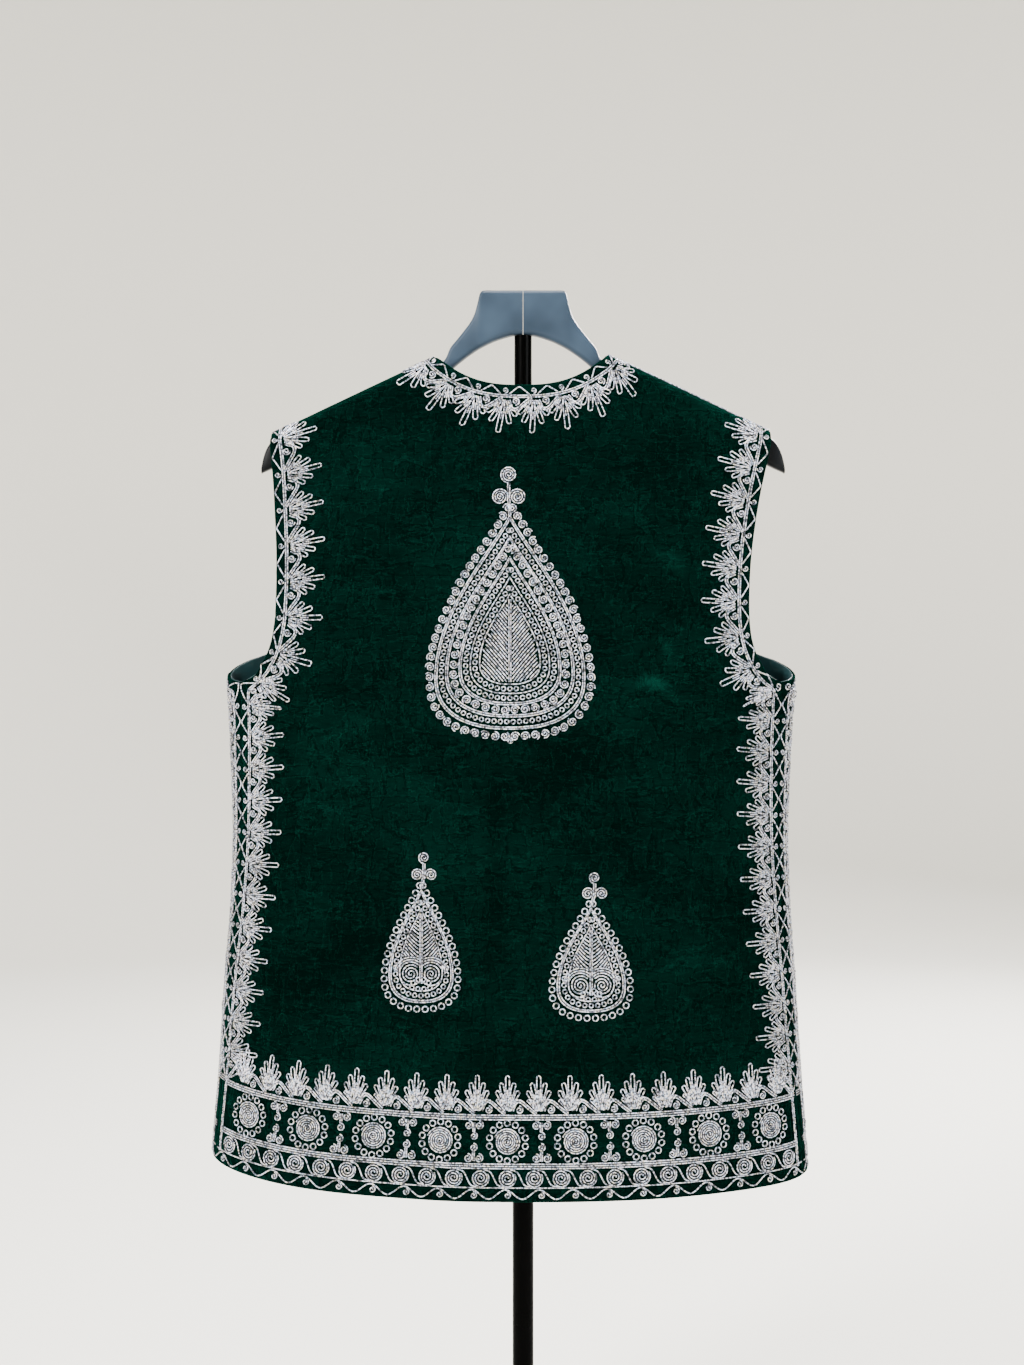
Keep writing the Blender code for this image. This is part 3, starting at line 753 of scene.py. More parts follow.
def cord_material(settings):
    """Metal-wrapped cord: tarnished silver tinted pale lilac, blue and cream, with painted glints
    (white specks in its colour) and painted shade on each cord's sides.
    """
    material, tree, n = new_material(
        "silver_cord",
        {"Metallic": 0.85, "Specular IOR Level": 0.6},
        ("place", "ShaderNodeTexCoord", {}),
        ("along", "ShaderNodeAttribute", {"attribute_name": "along"}),
        ("top", "ShaderNodeAttribute", {"attribute_name": "top"}),
        ("crown", "ShaderNodeValToRGB", {}),
        ("shade", "ShaderNodeMix", {"data_type": "RGBA", "blend_type": "MULTIPLY", 0: 1.0}),
        ("glint", "ShaderNodeTexNoise", {"Scale": 640.0, "Detail": 1.0}),
        ("tarnish", "ShaderNodeTexNoise", {"Scale": 34.0, "Detail": 3.0}),
        ("hue", "ShaderNodeTexNoise", {"Scale": 620.0, "Detail": 0.0}),
        ("tone", "ShaderNodeValToRGB", {}),
        ("tints", "ShaderNodeValToRGB", {}),
        ("wear", "ShaderNodeValToRGB", {}),
        ("colour", "ShaderNodeMix", {"data_type": "RGBA", "blend_type": "MULTIPLY", 0: 1.0}),
        ("dull", "ShaderNodeMix", {"data_type": "RGBA", "blend_type": "MULTIPLY", 0: 1.0}),
        ("rough", "ShaderNodeMapRange", {"To Min": 0.22, "To Max": 0.55}),
        ("coils", "ShaderNodeMath", {"operation": "MULTIPLY", 1: 2 * math.pi / 0.0009}),
        ("wrap", "ShaderNodeMath", {"operation": "SINE"}),
        ("height", "ShaderNodeMath", {"operation": "MULTIPLY_ADD", 1: 0.35}),
        ("bump", "ShaderNodeBump", {"Strength": 0.6, "Distance": 0.00035}),
    )
    for name in ("glint", "tarnish", "hue"):
        wire(tree, n, f"place.Object > {name}.Vector")
    wire(tree, n, "glint.0 > tone.Fac", "hue.0 > tints.Fac", "tarnish.0 > wear.Fac")
    cord = tuple(settings.cord)
    # painted glints: the cord's colour is painted white in specks where the glint noise is high, and
    # darker where it is low
    ramp(n["tone"], (0.38, tuple(0.12 * c for c in cord)), (0.50, cord), (0.565, (1.0, 1.0, 1.0)))
    ramp(
        n["tints"],
        (0.34, (0.66, 0.78, 1.0)),
        (0.46, (1.0, 1.0, 1.0)),
        (0.56, (0.84, 0.76, 1.0)),
        (0.66, (1.0, 0.92, 0.74)),
    )
    ramp(n["wear"], (0.30, (0.72, 0.72, 0.70)), (0.62, (1.0, 1.0, 1.0)))
    wire(
        tree, n,
        "tone.0 > colour.6", "tints.0 > colour.7", "colour.2 > dull.6", "wear.0 > dull.7",
    )
    # painted shade: each cord is painted near black on its sides and underside, where it faces the
    # cloth, and keeps its colour on its top
    ramp(n["crown"], (0.05, (0.05, 0.06, 0.07)), (0.45, (0.5, 0.5, 0.5)), (0.85, (1.0, 1.0, 1.0)))
    wire(
        tree, n,
        "top.Fac > crown.Fac", "dull.2 > shade.6", "crown.0 > shade.7",
        "shade.2 > shader.Base Color", "glint.0 > rough.Value", "rough.0 > shader.Roughness",
        "along.Fac > coils.0", "coils.0 > wrap.0", "wrap.0 > height.0", "hue.0 > height.2",
        "height.0 > bump.Height", "bump.0 > shader.Normal",
    )
    return material


def wood_material(settings):
    """Painted wood: slate grey, with painted shade darkening it towards the tips, satin, with a faint
    grain.
    """
    material, tree, n = new_material(
        "black_painted_wood",
        {"Specular IOR Level": 0.09},
        ("place", "ShaderNodeTexCoord", {}),
        ("long", "ShaderNodeMapping", {"Scale": (12.0, 160.0, 160.0)}),
        ("grain", "ShaderNodeTexNoise", {"Scale": 1.0, "Detail": 4.0}),
        ("cloud", "ShaderNodeTexNoise", {"Scale": 28.0, "Detail": 2.0}),
        ("ramp", "ShaderNodeValToRGB", {}),
        ("bump", "ShaderNodeBump", {"Strength": 0.18, "Distance": 0.0004}),
        ("rough", "ShaderNodeMapRange", {"To Min": 0.25, "To Max": 0.48}),
        ("axes", "ShaderNodeSeparateXYZ", {}),
        ("reach", "ShaderNodeMath", {"operation": "ABSOLUTE"}),
        # painted shadow: the hanger's colour darkens to near black towards its tips, which lie under
        # the vest's shoulders
        (
            "fade",
            "ShaderNodeMapRange",
            {"From Min": 0.07, "From Max": 0.17, "To Min": 1.0, "To Max": 0.04},
        ),
        ("worn", "ShaderNodeVectorMath", {"operation": "SCALE"}),
    )
    mottled(n["ramp"], settings.wood, 0.7, 1.3)
    wire(
        tree, n,
        "place.Object > axes.0", "axes.X > reach.0", "reach.0 > fade.Value",
        "fade.0 > worn.Scale", "place.Object > long.Vector", "place.Object > cloud.Vector",
        "long.0 > grain.Vector", "cloud.0 > ramp.Fac", "ramp.0 > worn.0",
        "worn.0 > shader.Base Color", "grain.0 > bump.Height", "bump.0 > shader.Normal",
        "cloud.0 > rough.Value", "rough.0 > shader.Roughness",
    )
    return material


def metal_material(settings):
    """Gloss black paint on metal, with a faint orange peel."""
    material, tree, n = new_material(
        "black_painted_metal",
        {"Specular IOR Level": 0.015},
        ("place", "ShaderNodeTexCoord", {}),
        ("peel", "ShaderNodeTexNoise", {"Scale": 260.0, "Detail": 2.0}),
        ("smear", "ShaderNodeTexNoise", {"Scale": 14.0, "Detail": 3.0}),
        ("ramp", "ShaderNodeValToRGB", {}),
        ("bump", "ShaderNodeBump", {"Strength": 0.12, "Distance": 0.0003}),
        ("rough", "ShaderNodeMapRange", {"To Min": 0.16, "To Max": 0.34}),
    )
    mottled(n["ramp"], settings.metal, 0.8, 1.3)
    wire(
        tree, n,
        "place.Object > peel.Vector", "place.Object > smear.Vector", "smear.0 > ramp.Fac",
        "ramp.0 > shader.Base Color", "peel.0 > bump.Height", "bump.0 > shader.Normal",
        "smear.0 > rough.Value", "rough.0 > shader.Roughness",
    )
    return material


def finish(name):
    """A finish, made the first time that a piece asks for it."""
    makers = {
        "green_velvet": (velvet_material, bpy.context.scene.vest_cloth),
        "teal_lining": (lining_material, bpy.context.scene.vest_cloth),
        "silver_cord": (cord_material, bpy.context.scene.vest_cord),
        "black_painted_wood": (wood_material, bpy.context.scene.vest_stand),
        "black_painted_metal": (metal_material, bpy.context.scene.vest_stand),
    }
    maker, settings = makers[name]
    return bpy.data.materials.get(name) or maker(settings)


# ---- cloth shells ----

RIM_BULGE = 0.0009  # how far a panel's rim is rounded out past its edge


def add_piece(name, mesh, slot, *nodes):
    """A finished piece that rides on the one body and stands for its CAD nodes."""
    made = bpy.data.objects.new(name, mesh)
    bpy.context.scene.collection.objects.link(made)
    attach(made, "root")
    if nodes:
        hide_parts(*nodes)


def plain_mesh(name, work):
    """A mesh from a bmesh that is done with, with its faces turned outwards."""
    bmesh.ops.recalc_face_normals(work, faces=work.faces)
    mesh = bpy.data.meshes.new(name)
    work.to_mesh(mesh)
    work.free()
    mesh.shade_smooth()
    return mesh


def rim_edges(cells):
    """The edges that only one cell has, each with that cell."""
    uses = {}
    for cell in cells:
        for pair in zip(cell, cell[1:] + cell[:1]):
            uses[frozenset(pair)] = None if frozenset(pair) in uses else (pair, cell)
    return [found for found in uses.values() if found]


def shell(name, flat, grid, outside, inside, slot, node):
    """A thin closed wall over a grid of (angle, run) places, with a rounded rim."""
    keys = sorted(grid)
    index = {key: k for k, key in enumerate(keys)}
    angle, run = np.array([grid[key] for key in keys]).T
    count = len(keys)
    outer = flat.laid(angle, run, np.full(count, outside))
    inner = flat.laid(angle, run, np.full(count, inside))
    cells = [
        (index[i, j], index[i + 1, j], index[i + 1, j + 1], index[i, j + 1])
        for i, j in keys
        if {(i + 1, j), (i, j + 1), (i + 1, j + 1)} <= index.keys()
    ]
    rim = rim_edges(cells)
    outward = {}
    for (first, second), cell in rim:
        way = (outer[first] + outer[second]) / 2 - outer[list(cell)].mean(axis=0)
        for place in (first, second):
            outward.setdefault(place, []).append(way)
    edge = {place: 2 * count + k for k, place in enumerate(outward)}
    bulge = []
    for place, ways in outward.items():
        way = sum(ways)
        bulge.append((outer[place] + inner[place]) / 2 + RIM_BULGE * way / np.linalg.norm(way))
    faces = [tuple(reversed(cell)) for cell in cells]
    faces += [tuple(count + k for k in cell) for cell in cells]
    for (first, second), _ in rim:
        faces.append((first, second, edge[second], edge[first]))
        faces.append((edge[first], edge[second], count + second, count + first))
    mesh = bpy.data.meshes.new(name)
    mesh.from_pydata(np.concatenate((outer, inner, bulge)).tolist(), [], faces)
    work = bmesh.new()
    work.from_mesh(mesh)
    bpy.data.meshes.remove(mesh)
    mesh = plain_mesh(name, work)
    along, level = flat.rolled(angle, run)
    # painted sheen: the pile is painted lighter along the shoulder ridge
    ridge_sheen = RIDGE_PAINTED_SHEEN * np.exp(-((run / RIDGE_PAINTED_SHEEN_RUN) ** 2))
    light = flat.lightness(along, level) + ridge_sheen
    values = np.stack((along, level, light), axis=1)
    values = np.concatenate((values, values, values[list(outward)]))
    corners = np.empty(len(mesh.loops), dtype=np.int64)
    mesh.loops.foreach_get("vertex_index", corners)
    mesh.uv_layers.new(name="flat").data.foreach_set("uv", values[corners, :2].ravel())
    # pile: how much lighter the velvet is painted, for crushed pile, painted sheen and painted
    # highlights
    pile = mesh.attributes.new("pile", "FLOAT", "POINT")
    pile.data.foreach_set("value", values[:, 2])
    mesh.materials.append(finish("green_velvet" if slot == "velvet" else "teal_lining"))
    add_piece(name, mesh, slot, node)


def grid_rises(low_rows, high_rows):
    """Rises of a grid's rows: even up to the underarm, then closer towards the ridge."""
    left = 1 - np.linspace(0, 1, high_rows + 1)[1:]
    return np.concatenate((np.linspace(0.0, 1.0, low_rows + 1), 2 - left**1.1))


def fine_back(columns, low_rows, high_rows):
    """The back's fine grid of (angle, run) places."""
    shares = np.linspace(-1.0, 1.0, columns + 1)
    grid = {}
    for j, rise in enumerate(grid_rises(low_rows, high_rows)):
        places = zip(*back_place(shares, np.full(len(shares), rise)))
        grid.update({(i, j): place for i, place in enumerate(places)})
    return grid


def fine_front(side, beside, columns, low_rows, high_rows):
    """A front's fine grid: below the armhole, then up between the armhole and the front edge."""
    shares = np.concatenate((np.linspace(-1, 0, beside + 1), np.linspace(0, 1, columns + 1)[1:]))
    grid = {}
    for j, rise in enumerate(grid_rises(low_rows, high_rows)):
        places = zip(*front_place(side, shares, np.full(len(shares), rise)))
        first = 0 if rise <= 1 else beside
        grid.update({(i, j): place for i, place in enumerate(places) if i >= first})
    return grid


# ---- cord ----


def cord_tree():
    """Geometry nodes that turn edges into round cord, with its length and its top side kept."""
    tree = bpy.data.node_groups.new("Couched cord", "GeometryNodeTree")
    face = tree.interface
    face.new_socket("Geometry", in_out="INPUT", socket_type="NodeSocketGeometry")
    face.new_socket("Cord Radius", in_out="INPUT", socket_type="NodeSocketFloat")
    face.new_socket("Sides", in_out="INPUT", socket_type="NodeSocketInt")
    face.new_socket("Finish", in_out="INPUT", socket_type="NodeSocketMaterial")
    face.new_socket("Geometry", in_out="OUTPUT", socket_type="NodeSocketGeometry")
    n = tree_nodes(
        tree,
        ("in", "NodeGroupInput", {}),
        ("curve", "GeometryNodeMeshToCurve", {}),
        ("out_way", "GeometryNodeInputNamedAttribute", {"data_type": "FLOAT_VECTOR", "Name": "out"}),
        ("upright", "GeometryNodeSetCurveNormal", {"mode": "FREE"}),
        ("length", "GeometryNodeSplineParameter", {}),
        ("store", "GeometryNodeStoreNamedAttribute", {"Name": "along"}),
        ("round", "GeometryNodeCurvePrimitiveCircle", {}),
        ("tube", "GeometryNodeCurveToMesh", {"Fill Caps": True}),
        ("normal", "GeometryNodeInputNormal", {}),
        ("dot", "ShaderNodeVectorMath", {"operation": "DOT_PRODUCT"}),
        # top: how much each face looks out from the cloth, which the cord's finish uses for painted
        # shade on its sides
        ("top", "GeometryNodeStoreNamedAttribute", {"Name": "top"}),
        ("smooth", "GeometryNodeSetShadeSmooth", {}),
        ("real", "GeometryNodeRealizeInstances", {}),
        ("finish", "GeometryNodeSetMaterial", {}),
        ("out", "NodeGroupOutput", {}),
    )
    wire(
        tree, n,
        "in.Geometry > curve.0", "curve.0 > upright.Curve", "out_way.Attribute > upright.Normal",
        "upright.0 > store.Geometry", "length.Length > store.Value", "store.0 > tube.Curve",
        "in.Cord Radius > round.Radius", "in.Sides > round.Resolution",
        "round.0 > tube.Profile Curve", "tube.0 > top.Geometry", "normal.Normal > dot.0",
        "out_way.Attribute > dot.1", "dot.Value > top.Value", "top.0 > smooth.Geometry",
        "smooth.0 > real.Geometry", "real.0 > finish.Geometry", "in.Finish > finish.Material",
        "finish.0 > out.Geometry",
    )
    return tree


def cord_piece(name, runs, *nodes):
    """Cord along many runs of points with their outward directions, as one plain mesh."""
    settings = bpy.context.scene.vest_cord
    points = []
    outs = []
    edges = []
    for run, out in runs:
        closed = np.linalg.norm(run[0] - run[-1]) < 1e-6 and len(run) > 3
        if closed:
            run = run[:-1]
            out = out[:-1]
        start = len(points)
        points.extend(run.tolist())
        outs.append(out)
        edges.extend((start + k, start + k + 1) for k in range(len(run) - 1))
        if closed:
            edges.append((start + len(run) - 1, start))
    mesh = bpy.data.meshes.new(name)
    mesh.from_pydata(points, edges, [])
    way = mesh.attributes.new("out", "FLOAT_VECTOR", "POINT")
    way.data.foreach_set("vector", np.concatenate(outs).ravel())
    holder = bpy.data.objects.new(name + "_runs", mesh)
    bpy.context.scene.collection.objects.link(holder)
    tree = bpy.data.node_groups.get("Couched cord") or cord_tree()
    modifier = holder.modifiers.new("Couched cord", "NODES")
    modifier.node_group = tree
    inputs = {item.name: item.identifier for item in tree.interface.items_tree}
    modifier[inputs["Cord Radius"]] = settings.radius
    modifier[inputs["Sides"]] = settings.sides
    modifier[inputs["Finish"]] = finish("silver_cord")
    graph = bpy.context.evaluated_depsgraph_get()
    made = bpy.data.meshes.new_from_object(
        holder.evaluated_get(graph), preserve_all_data_layers=True, depsgraph=graph
    )
    made.name = name
    bpy.data.objects.remove(holder)
    add_piece(name, made, "cord", *nodes)


# ---- strokes, in millimetres ----

COIL_PITCH = 1.85
ROSE_COIL = 11.0  # radius of a rosette's coil
ROSE_REACH = 15.2  # from a rosette's middle to its beads' middles
ROSE_BEADS = 14
HEM_WAVE = 27.0  # along a hem from one wave, scroll, rosette or palmette to the next
HEM_SCROLL = 22.4
HEM_ROSE = 57.0
HEM_PALMETTE = 26.2
SIDE_PALMETTE = 26.3  # along an edge from one palmette to the next, up to its turn
ARM_PALMETTE = 29.6  # and beyond it
HEM_MARGIN = 9.0  # from a hem's end to its lines
CORNER = 27.0  # from a hem's end to its first palmette
WIDE_FAN = ((0.0, 31.6), (18.0, 24.0), (37.0, 19.4))  # lean and length of the petals
SPADE_FAN = ((0.0, 30.5), (13.0, 25.2), (27.0, 20.4), (39.0, 14.4))


def round_points(x, y, turn, wide, high):
    """Points of an ellipse, or of a coil where the half width and half height are lists."""
    return np.stack((x + wide * np.cos(turn), y + high * np.sin(turn)), axis=1)


def lengths(path):
    """The distance along a path to each of its points."""
    return np.concatenate(([0.0], np.cumsum(np.linalg.norm(np.diff(path, axis=0), axis=1))))


def curl(x, y, radius, start=0.0, hand=1, pitch=COIL_PITCH, inner=0.4):
    """A coil of cord wound from its rim to its middle."""
    turns = max((radius - inner) / pitch, 0.7)
    count = int(turns * (7.5 + 0.75 * radius)) + 3
    share = np.linspace(0.0, 1.0, count)
    reach = radius + (inner - radius) * share
    turn = math.radians(start) + hand * 2 * math.pi * turns * share
    return round_points(x, y, turn, reach, reach)


def ring(x, y, radius, steps=9):
    """A closed ring of cord."""
    turn = np.linspace(0.0, 2 * math.pi, steps + 1)
    turn[-1] = 0.0
    return round_points(x, y, turn, radius, radius)


def disc(x, y, radius):
    """A small roundel: a coil of cord whose turns lie just apart."""
    return [curl(x, y, radius, 90.0)]


def bow(x, y, wide, high, start=0.0, end=180.0, steps=12):
    """Part of an ellipse."""
    return round_points(x, y, np.radians(np.linspace(start, end, steps + 1)), wide, high)


def petal(x, y, lean, length, starts, slope, wide=1.6):
    """A looped petal: two close cords that part on their way out and meet in a round tip."""
    halves = []
    for start, hand in zip(starts, (1, -1)):
        out = np.linspace(start, length - wide, 4)
        halves.append(np.stack((hand * np.clip(slope * out - 0.5, 0.35, wide), out), axis=1))
    tip = np.radians((40.0, 90.0, 140.0))
    top = np.stack((wide * np.cos(tip), length - wide + wide * np.sin(tip)), axis=1)
    path = np.concatenate((halves[0], top, halves[1][::-1]))
    return turned_way([path + (x, y)], x, y, lean)[0]


def curve(*points, steps=5):
    """A smooth curve through points."""
    path = np.array(points, dtype=float)
    longer = np.concatenate(([2 * path[0] - path[1]], path, [2 * path[-1] - path[-2]]))
    found = []
    for before, low, high, after in zip(longer, longer[1:], longer[2:], longer[3:]):
        for t in np.linspace(0.0, 1.0, steps, endpoint=False):
            found.append(
                0.5
                * (
                    2 * low
                    + (high - before) * t
                    + (2 * before - 5 * low + 4 * high - after) * t**2
                    + (3 * low - before - 3 * high + after) * t**3
                )
            )
    found.append(path[-1])
    return np.array(found)


def turned_way(strokes, x, y, degrees):
    """Strokes turned clockwise about a point."""
    turn = math.radians(degrees)
    found = []
    for stroke in strokes:
        dx = stroke[:, 0] - x
        dy = stroke[:, 1] - y
        found.append(
            np.stack(
                (
                    x + dx * math.cos(turn) + dy * math.sin(turn),
                    y + dy * math.cos(turn) - dx * math.sin(turn),
                ),
                axis=1,
            )
        )
    return found


def ray(x, y, lean, start, end):
    """A short straight cord that points away from a base."""
    turn = math.radians(lean)
    reach = np.array((start, end))
    return np.stack((x + reach * math.sin(turn), y + reach * math.cos(turn)), axis=1)


def palmette(x, y, size=1.0, lean=0.0, fan=WIDE_FAN):
    """A fan of looped petals, side by side, each filled with a vein for most of its length."""
    slope = math.tan(math.radians((fan[1][0] - fan[0][0]) / 2))
    strokes = []
    for turn, length in fan:
        outer = 3.2 if turn == fan[-1][0] else 8.5
        for way in (turn, -turn)[: 2 if turn else 1]:
            starts = (3.6, 3.6) if not turn else (outer, 8.5) if way > 0 else (8.5, outer)
            strokes.append(petal(x, y, way, length * size, [size * at for at in starts], slope))
            strokes.append(ray(x, y, way, 0.40 * length * size, 0.62 * length * size))
            if turn:
                between = way - math.copysign((fan[1][0] - fan[0][0]) / 2, way)
                strokes.append(ray(x, y, between, 2.4 * size, 9.0 * size))
    return turned_way(strokes, x, y, lean)


def wave(start, end, low, high, pitch, first=0.0):
    """A wavy cord between two heights, at its high at the start plus first."""
    count = max(int((end - start) / pitch * 12), 8)
    x = np.linspace(start, end, count)
    y = (low + high) / 2 + (high - low) / 2 * np.cos(2 * math.pi * (x - start - first) / pitch)
    return np.stack((x, y), axis=1)


def line(start, end, height, step=7.0):
    """A straight cord along the edge."""
    x = np.linspace(start, end, max(int((end - start) / step), 1) + 1)
    return np.stack((x, np.full(len(x), height)), axis=1)


def rosette(x, y):
    """A coiled roundel in a ring of open beads."""
    turns = 2 * math.pi * (np.arange(ROSE_BEADS) + 0.5) / ROSE_BEADS
    beads = [ring(*place, 2.4) for place in round_points(x, y, turns, ROSE_REACH, ROSE_REACH)]
    return [curl(x, y, ROSE_COIL, 20.0), *beads]


def drop(x, y, up):
    """A coiled drop that hangs by its stem from a pair of discs on a line."""
    strokes = disc(x - 4.5, y + up * 4.2, 3.7) + disc(x + 4.5, y + up * 4.2, 3.7)
    strokes += disc(x, y + up * 12.9, 3.4)
    strokes.append(np.array(((x - 0.7, y + up * 2.0), (x - 0.7, y + up * 9.6))))
    strokes.append(np.array(((x + 0.7, y + up * 2.0), (x + 0.7, y + up * 9.6))))
    return strokes


def leaning_arch(x, pitch, low):
    """A double cord that leaves one palmette's base, rounds a disc and ends at the next's flank."""
    half = pitch / 2
    along = half / 15.2
    strokes = disc(x + 3.6 * along, low + 3.2, 3.4)
    for points in (
        ((2.0 - 15.2, 0.4), (-6.0, 5.4), (0.2, 9.8), (4.6, 11.3), (8.2, 9.8), (9.4, 6.4), (11.6, 2.6)),
        ((3.3 - 15.2, -0.6), (-4.8, 4.0), (1.1, 8.3), (4.6, 9.5), (7.0, 8.2), (7.7, 6.0), (9.6, 2.2)),
    ):
        strokes.append(curve(*[(x + along * a, low + b) for a, b in points], steps=2))
    return strokes


# ---- teardrops ----


def teardrop(apex, foot, half, step=2.6):
    """A teardrop's outline in even steps, from its apex round its foot and back."""
    belly = apex - (apex - foot) * BELLY_SHARE
    down = np.linspace(0.0, 1.0, 60)
    upper = np.stack((half * np.sin(down * math.pi / 2) ** SIDE_CURVE, apex + (belly - apex) * down), 1)
    turn = np.linspace(0.0, math.pi / 2, 60)[1:]
    wide = half * np.cos(turn) ** (2 / FOOT_CURVE)
    lower = np.stack((wide, belly + (foot - belly) * np.sin(turn) ** (2 / FOOT_CURVE)), 1)
    side = np.concatenate((upper, lower))
    whole = np.concatenate((side, side[-2::-1] * (-1, 1)))
    return resampled(whole, step)


def inside_width(apex, foot, half, level):
    """A teardrop's half width at each level."""
    path = teardrop(apex, foot, half, 0.4)
    right = path[path[:, 0] >= 0]
    order = np.argsort(right[:, 1])
    return np.interp(level, right[order, 1], right[order, 0])


def motif_row(kind, apex, foot, half):
    """One row of a teardrop: a line of cord, or discs, rings or beads set side by side."""
    if kind == "line":
        return [teardrop(apex, foot, half)]
    size, pitch = {"disc": (3.9, 8.2), "ring": (1.8, 5.2), "bead": (2.4, 6.9)}[kind]
    path = teardrop(apex, foot, half, 0.4)
    reach = lengths(path)
    count = max(round(reach[-1] / pitch), 3)
    strokes = []
    for k in range(count):
        place = (k + 0.5) * reach[-1] / count
        x, y = (np.interp(place, reach, path[:, axis]) for axis in (0, 1))
        if kind == "disc":
            strokes.append(curl(x, y, size, 40.0 * k, 1 if x > 0 else -1))
        else:
            strokes.append(ring(x, y, size, 9 if kind == "bead" else 7))
    return strokes


def finial(middle, pair_level, pair_size, top_level, top_size, apex):
    """The three coiled discs on a teardrop's apex, on their stem."""
    spread = pair_size + 0.2
    stem = np.array(((middle, top_level - top_size), (middle, pair_level), (0.0, apex)))
    return [
        curl(middle, top_level, top_size - 0.1, -90.0, 1, 1.95),
        curl(middle - spread, pair_level, pair_size - 0.1, -30.0, 1, 1.95),
        curl(middle + spread, pair_level, pair_size - 0.1, 210.0, -1, 1.95),
        stem + np.array((-0.8, 0.0)),
        stem + np.array((0.8, 0.0)),
    ]


def large_teardrop(lean):
    """The large teardrop: rows of discs, rings and lines round a hatched leaf."""
    strokes = []
    for row in LARGE_ROWS:
        strokes += motif_row(*row)
    climb = np.linspace(0.0, 1.0, 60)
    for side in (-1, 1):
        strokes.append(np.array(((side * 0.8, 49.0), (side * 0.8, 117.0))))
        for foot in np.arange(20.0, 114.0, 3.5):
            x = 1.8 + climb * 28.0
            y = foot + climb * 36.0 * (1 - 0.12 * climb)
            inside = (x < inside_width(119.0, 48.6, 23.6, y) + 0.6) & (y > 48.8)
            if inside.sum() > 3:
                strokes.append(resampled(np.stack((side * x[inside], y[inside]), axis=1), 2.0)[::2])
    strokes += finial(lean, 202.8, 7.2, 221.6, 7.2, 187.0)
    strokes.append(curl(0.0, 0.6, 2.6, 90.0, 1, 1.5))
    return strokes


def small_teardrop(high, half, lean):
    """A small teardrop: beads, rings and lines round two coils and a fern."""
    strokes = []
    for kind, apex, foot, wide in SMALL_ROWS:
        strokes += motif_row(kind, apex * high, foot * high, wide * half)
    eye = 0.30 * high
    size = 0.235 * half
    out = 1.08 * size
    climb = np.linspace(0.0, 1.0, 40)
    for side in (-1, 1):
        strokes.append(curl(side * out, eye, size, 90.0 + side * 46.0, -side, 2.5))
        for k in range(1, 4):
            wide = size + 1.95 * k
            start = 90.0 - side * 80.0
            reach = math.degrees(math.asin((out - 1.6) / wide))
            strokes.append(bow(side * out, eye, wide, wide, start, 90.0 + side * reach, 9))
        strokes.append(np.array(((side * 0.8, eye + size), (side * 0.8, 0.76 * high))))
        strokes.append(np.array(((side * 0.8, eye - size), (side * 0.8, eye + size))))
        strokes.append(bow(side * out, eye, size + 1.6, size + 1.6, 180.0, 360.0, 9))
        for foot in np.arange(eye - 2.0, 0.74 * high, 3.1):
            x = 1.4 + climb * 15.0
            y = foot + 16.0 * climb**1.3
            inside = x < inside_width(0.79 * high, 0.18 * high, 0.50 * half, y) + 0.2
            inside &= np.hypot(x - out, y - eye) > size + 6.6
            if inside.sum() > 1:
                strokes.append(resampled(np.stack((side * x[inside], y[inside]), axis=1), 3.0)[::2])
    strokes += motif_row("ring", 0.27 * high, 0.185 * high, 0.25 * half)
    strokes += finial(lean, 1.058 * high, 5.4, 1.190 * high, 4.9, 0.95 * high)
    return strokes


# ---- borders ----

BARE = 0.080  # the length of a side's border above the hem that has lines only
LIFT = 0.8  # how far a cord's middle lies off the cloth, in its own radii
HEM_LIFT = 0.7


def hem_strokes(length):
    """The wide hem border, in (along, up) from the hem's right end."""
    strokes = []
    margin = HEM_MARGIN
    inner = length - 2 * margin
    waves = max(round(length / HEM_WAVE), 2)
    pitch = length / waves
    strokes.append(wave(1.5, length - 1.5, 1.9, 9.6, pitch, pitch / 2))
    for k in range(waves):
        strokes += disc((k + 0.5) * pitch, 5.0, 3.0)
    strokes.append(line(3.0, length - 3.0, 11.0))
    scrolls = max(round(inner / HEM_SCROLL), 2)
    pitch = inner / scrolls
    for k in range(scrolls):
        x = margin + (k + 0.5) * pitch
        strokes.append(curl(x, 18.8, 6.9, -70.0, 1, 2.2, 0.9))
        strokes.append(bow(x, 18.8, 6.9, 6.9, 150.0, 300.0, 7))
        link = ((x + 2.2, 11.9), (x + 8.2, 13.6), (x + pitch - 8.4, 23.4), (x + pitch - 2.4, 25.8))
        if k < scrolls - 1:
            strokes.append(curve(*link, steps=4))
    for height in (26.6, 28.4, 30.2, 66.0, 67.8, 69.6):
        strokes.append(line(margin - 1.0, length - margin + 1.0, height))
    roses = max(round(inner / HEM_ROSE), 1)
    pitch = inner / roses
    for k in range(roses):
        strokes += rosette(margin + (k + 0.5) * pitch, 48.1)
    for k in range(1, roses):
        strokes += drop(margin + k * pitch, 65.6, -1)
        strokes += drop(margin + k * pitch, 30.6, 1)
    room = length - 2 * CORNER
    palms = max(round(room / HEM_PALMETTE), 1)
    pitch = room / palms
    for k in range(palms + 1):
        strokes += palmette(CORNER + k * pitch, 71.0, 1.0, 0.0, SPADE_FAN)
        if k < palms:
            strokes += leaning_arch(CORNER + (k + 0.5) * pitch, pitch, 70.8)
    for end, lean in ((margin + 0.5, 42.0), (length - margin - 0.5, -42.0)):
        for high, wide in ((19.0, 3.6), (15.0, 1.8)):
            strokes.append(petal(end, 71.5, lean, high, (2.0, 2.0), 0.3, wide))
    return strokes


